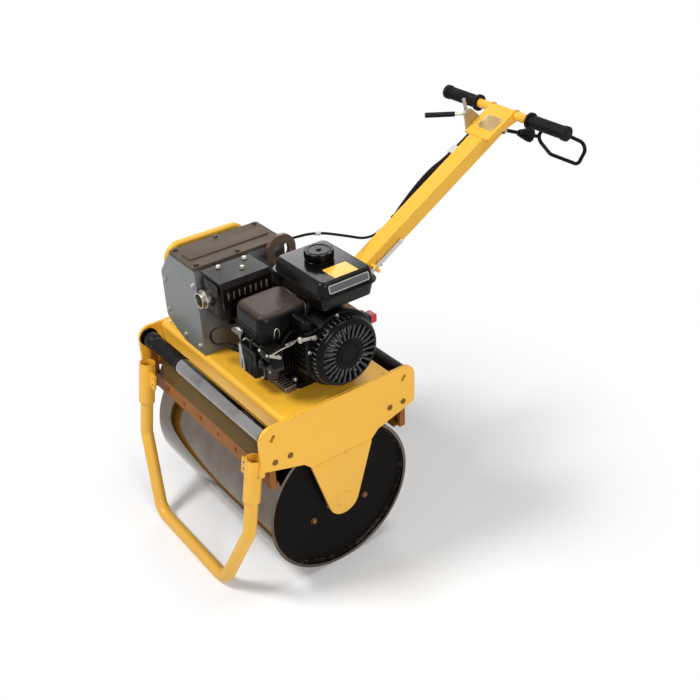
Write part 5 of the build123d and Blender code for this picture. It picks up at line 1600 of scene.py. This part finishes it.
@dataclass
class Studio:
    """Camera, soft light and pale floor.

    Attributes:
        eye: Camera position in mm, fitted to the photograph.
        azimuth: Camera direction round the machine in degrees.
        elevation: Its height over the horizon in degrees.
        roll: Its roll in degrees.
        focal: Focal length in pixels of the frame.
        frame: Width of the frame in pixels.
        aim: Where the lamps point to, in metres.
        lamps: A key light high in front, a fill on the left, a top light and one from behind.
        sky: Strength of the even light on the machine.
        floor_half: Half the floor's width in metres.
        floor_middle: Place under the machine that the floor fades from, in metres.
        fade: Distances from there, in metres, between which the floor turns white.
        shade: Share of white under the machine, where its shadow lies.
    """

    eye: Point = Point(1887.75, -1125.05, 1890.92)
    azimuth: float = 53.98
    elevation: float = 32.5
    roll: float = -2.15
    focal: float = 1020.5
    frame: int = 700
    aim: Point = Point(0, 0.1, 0.45)
    lamps: Sequence[Lamp] = (
        Lamp("key", Point(-0.8, -1.9, 3.3), 1.1, 96.0),
        Lamp("fill", Point(3.0, -0.7, 1.7), 1.2, 50.0),
        Lamp("top", Point(0.6, 0.9, 3.4), 1.2, 28.0),
        Lamp("rim", Point(-2.6, 1.6, 2.0), 1.2, 18.0),
    )
    sky: float = 0.2
    floor_half: float = 14.0
    floor_middle: Point = Point(0.0, 0.25, 0.0)
    fade: Pair = (0.42, 0.98)
    shade: float = 0.03

    def build(self) -> None:
        """Set the camera, the lamps, the floor and the background."""
        self.camera()
        self.light()
        self.floor()
        self.backdrop()
        bpy.context.scene.view_settings.view_transform = "Standard"

    def camera(self) -> None:
        """Put the camera at the photograph's viewing angle."""
        turn, lift, roll = radians(self.azimuth), radians(self.elevation), radians(self.roll)
        back = Vector((sin(turn) * cos(lift), -cos(turn) * cos(lift), sin(lift)))
        right = (-back).cross(Vector(UP)).normalized()
        up = right.cross(-back)
        right, up = right * cos(roll) + up * sin(roll), up * cos(roll) - right * sin(roll)
        lens = bpy.data.cameras.new("camera")
        lens.sensor_width = 36.0
        lens.lens = self.focal / self.frame * lens.sensor_width
        lens.clip_end = 60.0
        holder = bpy.data.objects.new("camera", lens)
        axes = Matrix((right, up, back)).transposed().to_4x4()
        holder.matrix_world = Matrix.Translation(Vector(self.eye) * MM) @ axes
        bpy.context.scene.collection.objects.link(holder)
        bpy.context.scene.camera = holder

    def light(self) -> None:
        """Hang the lamps."""
        for name, spot, size, power in self.lamps:
            lamp = bpy.data.lights.new(name, "AREA")
            lamp.shape = "DISK"
            lamp.size = size
            lamp.energy = power
            holder = bpy.data.objects.new(name, lamp)
            aim = Vector(self.aim) - Vector(spot)
            holder.matrix_world = Matrix.Translation(spot) @ aim.to_track_quat("-Z", "Y").to_matrix().to_4x4()
            bpy.context.scene.collection.objects.link(holder)

    @staticmethod
    def seen(graph: Graph) -> Socket:
        """Tell what the eye sees from the light that falls on surfaces.

        Args:
            graph: The nodes of the floor or the world.

        Returns:
            1 for rays from the camera, in reflections and through glass, and 0 for others.
        """
        path = graph.add("ShaderNodeLightPath").outputs
        direct = graph.add("ShaderNodeMath", {0: path["Is Camera Ray"], 1: path["Is Glossy Ray"]},
                           operation="MAXIMUM")
        both = graph.add("ShaderNodeMath", {0: direct.outputs["Value"], 1: path["Is Transmission Ray"]},
                         operation="MAXIMUM")
        return both.outputs["Value"]

    def floor(self) -> None:
        """Lay a wide pale floor that shows the shadow and little else."""
        sheet = bmesh.new()
        bmesh.ops.create_grid(sheet, x_segments=8, y_segments=8, size=self.floor_half)
        data = bpy.data.meshes.new("floor")
        sheet.to_mesh(data)
        sheet.free()
        floor = bpy.data.objects.new("floor", data)
        bpy.context.scene.collection.objects.link(floor)
        material = bpy.data.materials.new("pale_floor")
        material.use_nodes = True
        graph = Graph(material.node_tree)
        place = graph.add("ShaderNodeNewGeometry")
        reach = graph.add("ShaderNodeVectorMath", {0: place.outputs["Position"]}, {1: self.floor_middle},
                          operation="DISTANCE")
        fade = graph.add("ShaderNodeMapRange", {"Value": reach.outputs["Value"]},
                         {"From Min": self.fade[0], "From Max": self.fade[1], "To Min": self.shade,
                          "To Max": 1.0}, interpolation_type="SMOOTHSTEP")
        share = graph.add("ShaderNodeMath", {0: self.seen(graph), 1: fade.outputs["Result"]},
                          operation="MULTIPLY")
        matt = graph.add("ShaderNodeBsdfDiffuse", None, {"Color": linear("#F2F2F2")})
        glow = graph.add("ShaderNodeEmission", None, {"Color": (1, 1, 1, 1), "Strength": 1.0})
        layers = {0: share.outputs["Value"], 1: matt.outputs["BSDF"], 2: glow.outputs["Emission"]}
        both = graph.add("ShaderNodeMixShader", layers)
        graph.add("ShaderNodeOutputMaterial", {"Surface": both.outputs["Shader"]})
        data.materials.append(material)

    def backdrop(self) -> None:
        """White behind the machine and in its reflections, and a soft even light."""
        world = bpy.data.worlds.new("studio")
        world.use_nodes = True
        bpy.context.scene.world = world
        graph = Graph(world.node_tree)
        level = graph.add("ShaderNodeMapRange", {"Value": self.seen(graph)},
                          {"From Min": 0.0, "From Max": 1.0, "To Min": self.sky, "To Max": 1.0})
        sky = graph.add("ShaderNodeBackground", {"Strength": level.outputs["Result"]},
                        {"Color": (1, 1, 1, 1)})
        graph.add("ShaderNodeOutputWorld", {"Surface": sky.outputs["Background"]})


@dataclass
class Dressing:
    """The finish of every solid that shows.

    Attributes:
        nodes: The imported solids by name.
        plan: The names of the solids that each finish goes on.
    """

    nodes: dict[str, bpy.types.Object]
    plan: dict[Finish, str] = field(default_factory=lambda: {
        Shop.ROLLED: "drum_shell",
        Shop.DRUM_BLACK: "drum_disc_left drum_disc_right exciter_housing",
        Shop.YELLOW: "side_plate_left side_plate_right drum_leg_left drum_leg_right deck guard_hoop "
                     "drawbar_bracket drawbar_tube control_head handlebar lock_lugs",
        Shop.STAND_YELLOW: "stand_sleeves stand_hoop",
        Shop.AMBER_PAINTED_SHADE: "scraper_front scraper_rear",
        Shop.CHROME: "lock_rod axle_stub_left axle_stub_right",
        Shop.DRAWN: "front_bar",
        Shop.ZINC: "exhaust_outlet pivot_pin quadrant hand_lever",
        Shop.RUBBER: "front_bar_grip handle_grips travel_boot",
        Shop.BLACK: "rear_bar tank_strap travel_loop",
        Shop.CASTING: "engine_block clutch_housing drive_pump valve_cover",
        Shop.ALLOY_DARK: "carburettor",
        Shop.COWL: "fan_housing",
        Shop.PLASTIC: "recoil_starter recoil_handle fuel_cap lever_sleeve control_cables throttle_cable",
        Shop.CLEANER: "air_cleaner",
        Shop.RED: "engine_switch",
        Shop.TANK: "fuel_tank",
        Shop.HEAT: "muffler muffler_shield",
        Shop.GREY: "drive_guard",
        Shop.LID: "guard_lid",
        Shop.BROWN: "lifting_eye",
        Shop.WHITE: "cable_clamp",
    })

    def dress(self) -> None:
        """Give each solid its finish."""
        for finish, names in self.plan.items():
            for name in names.split():
                slots = self.nodes[name].data.materials
                slots.clear()
                slots.append(SHOP.get(finish))
        LOG.info("dressed %d solids", sum(len(names.split()) for names in self.plan.values()))


def main() -> None:
    """Load the solids, dress them, add the pieces and set the studio."""
    logging.basicConfig(level=logging.INFO, format="%(name)s: %(message)s")
    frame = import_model()
    Studio().build()
    Dressing(frame["nodes"]).dress()
    bar = DrawbarFittings()
    for group in (DrumEnds(), FrameFittings(), EngineFittings(), GuardFittings(), bar, ThrottleLine(bar)):
        group.build()


if __name__ == "__main__":
    main()
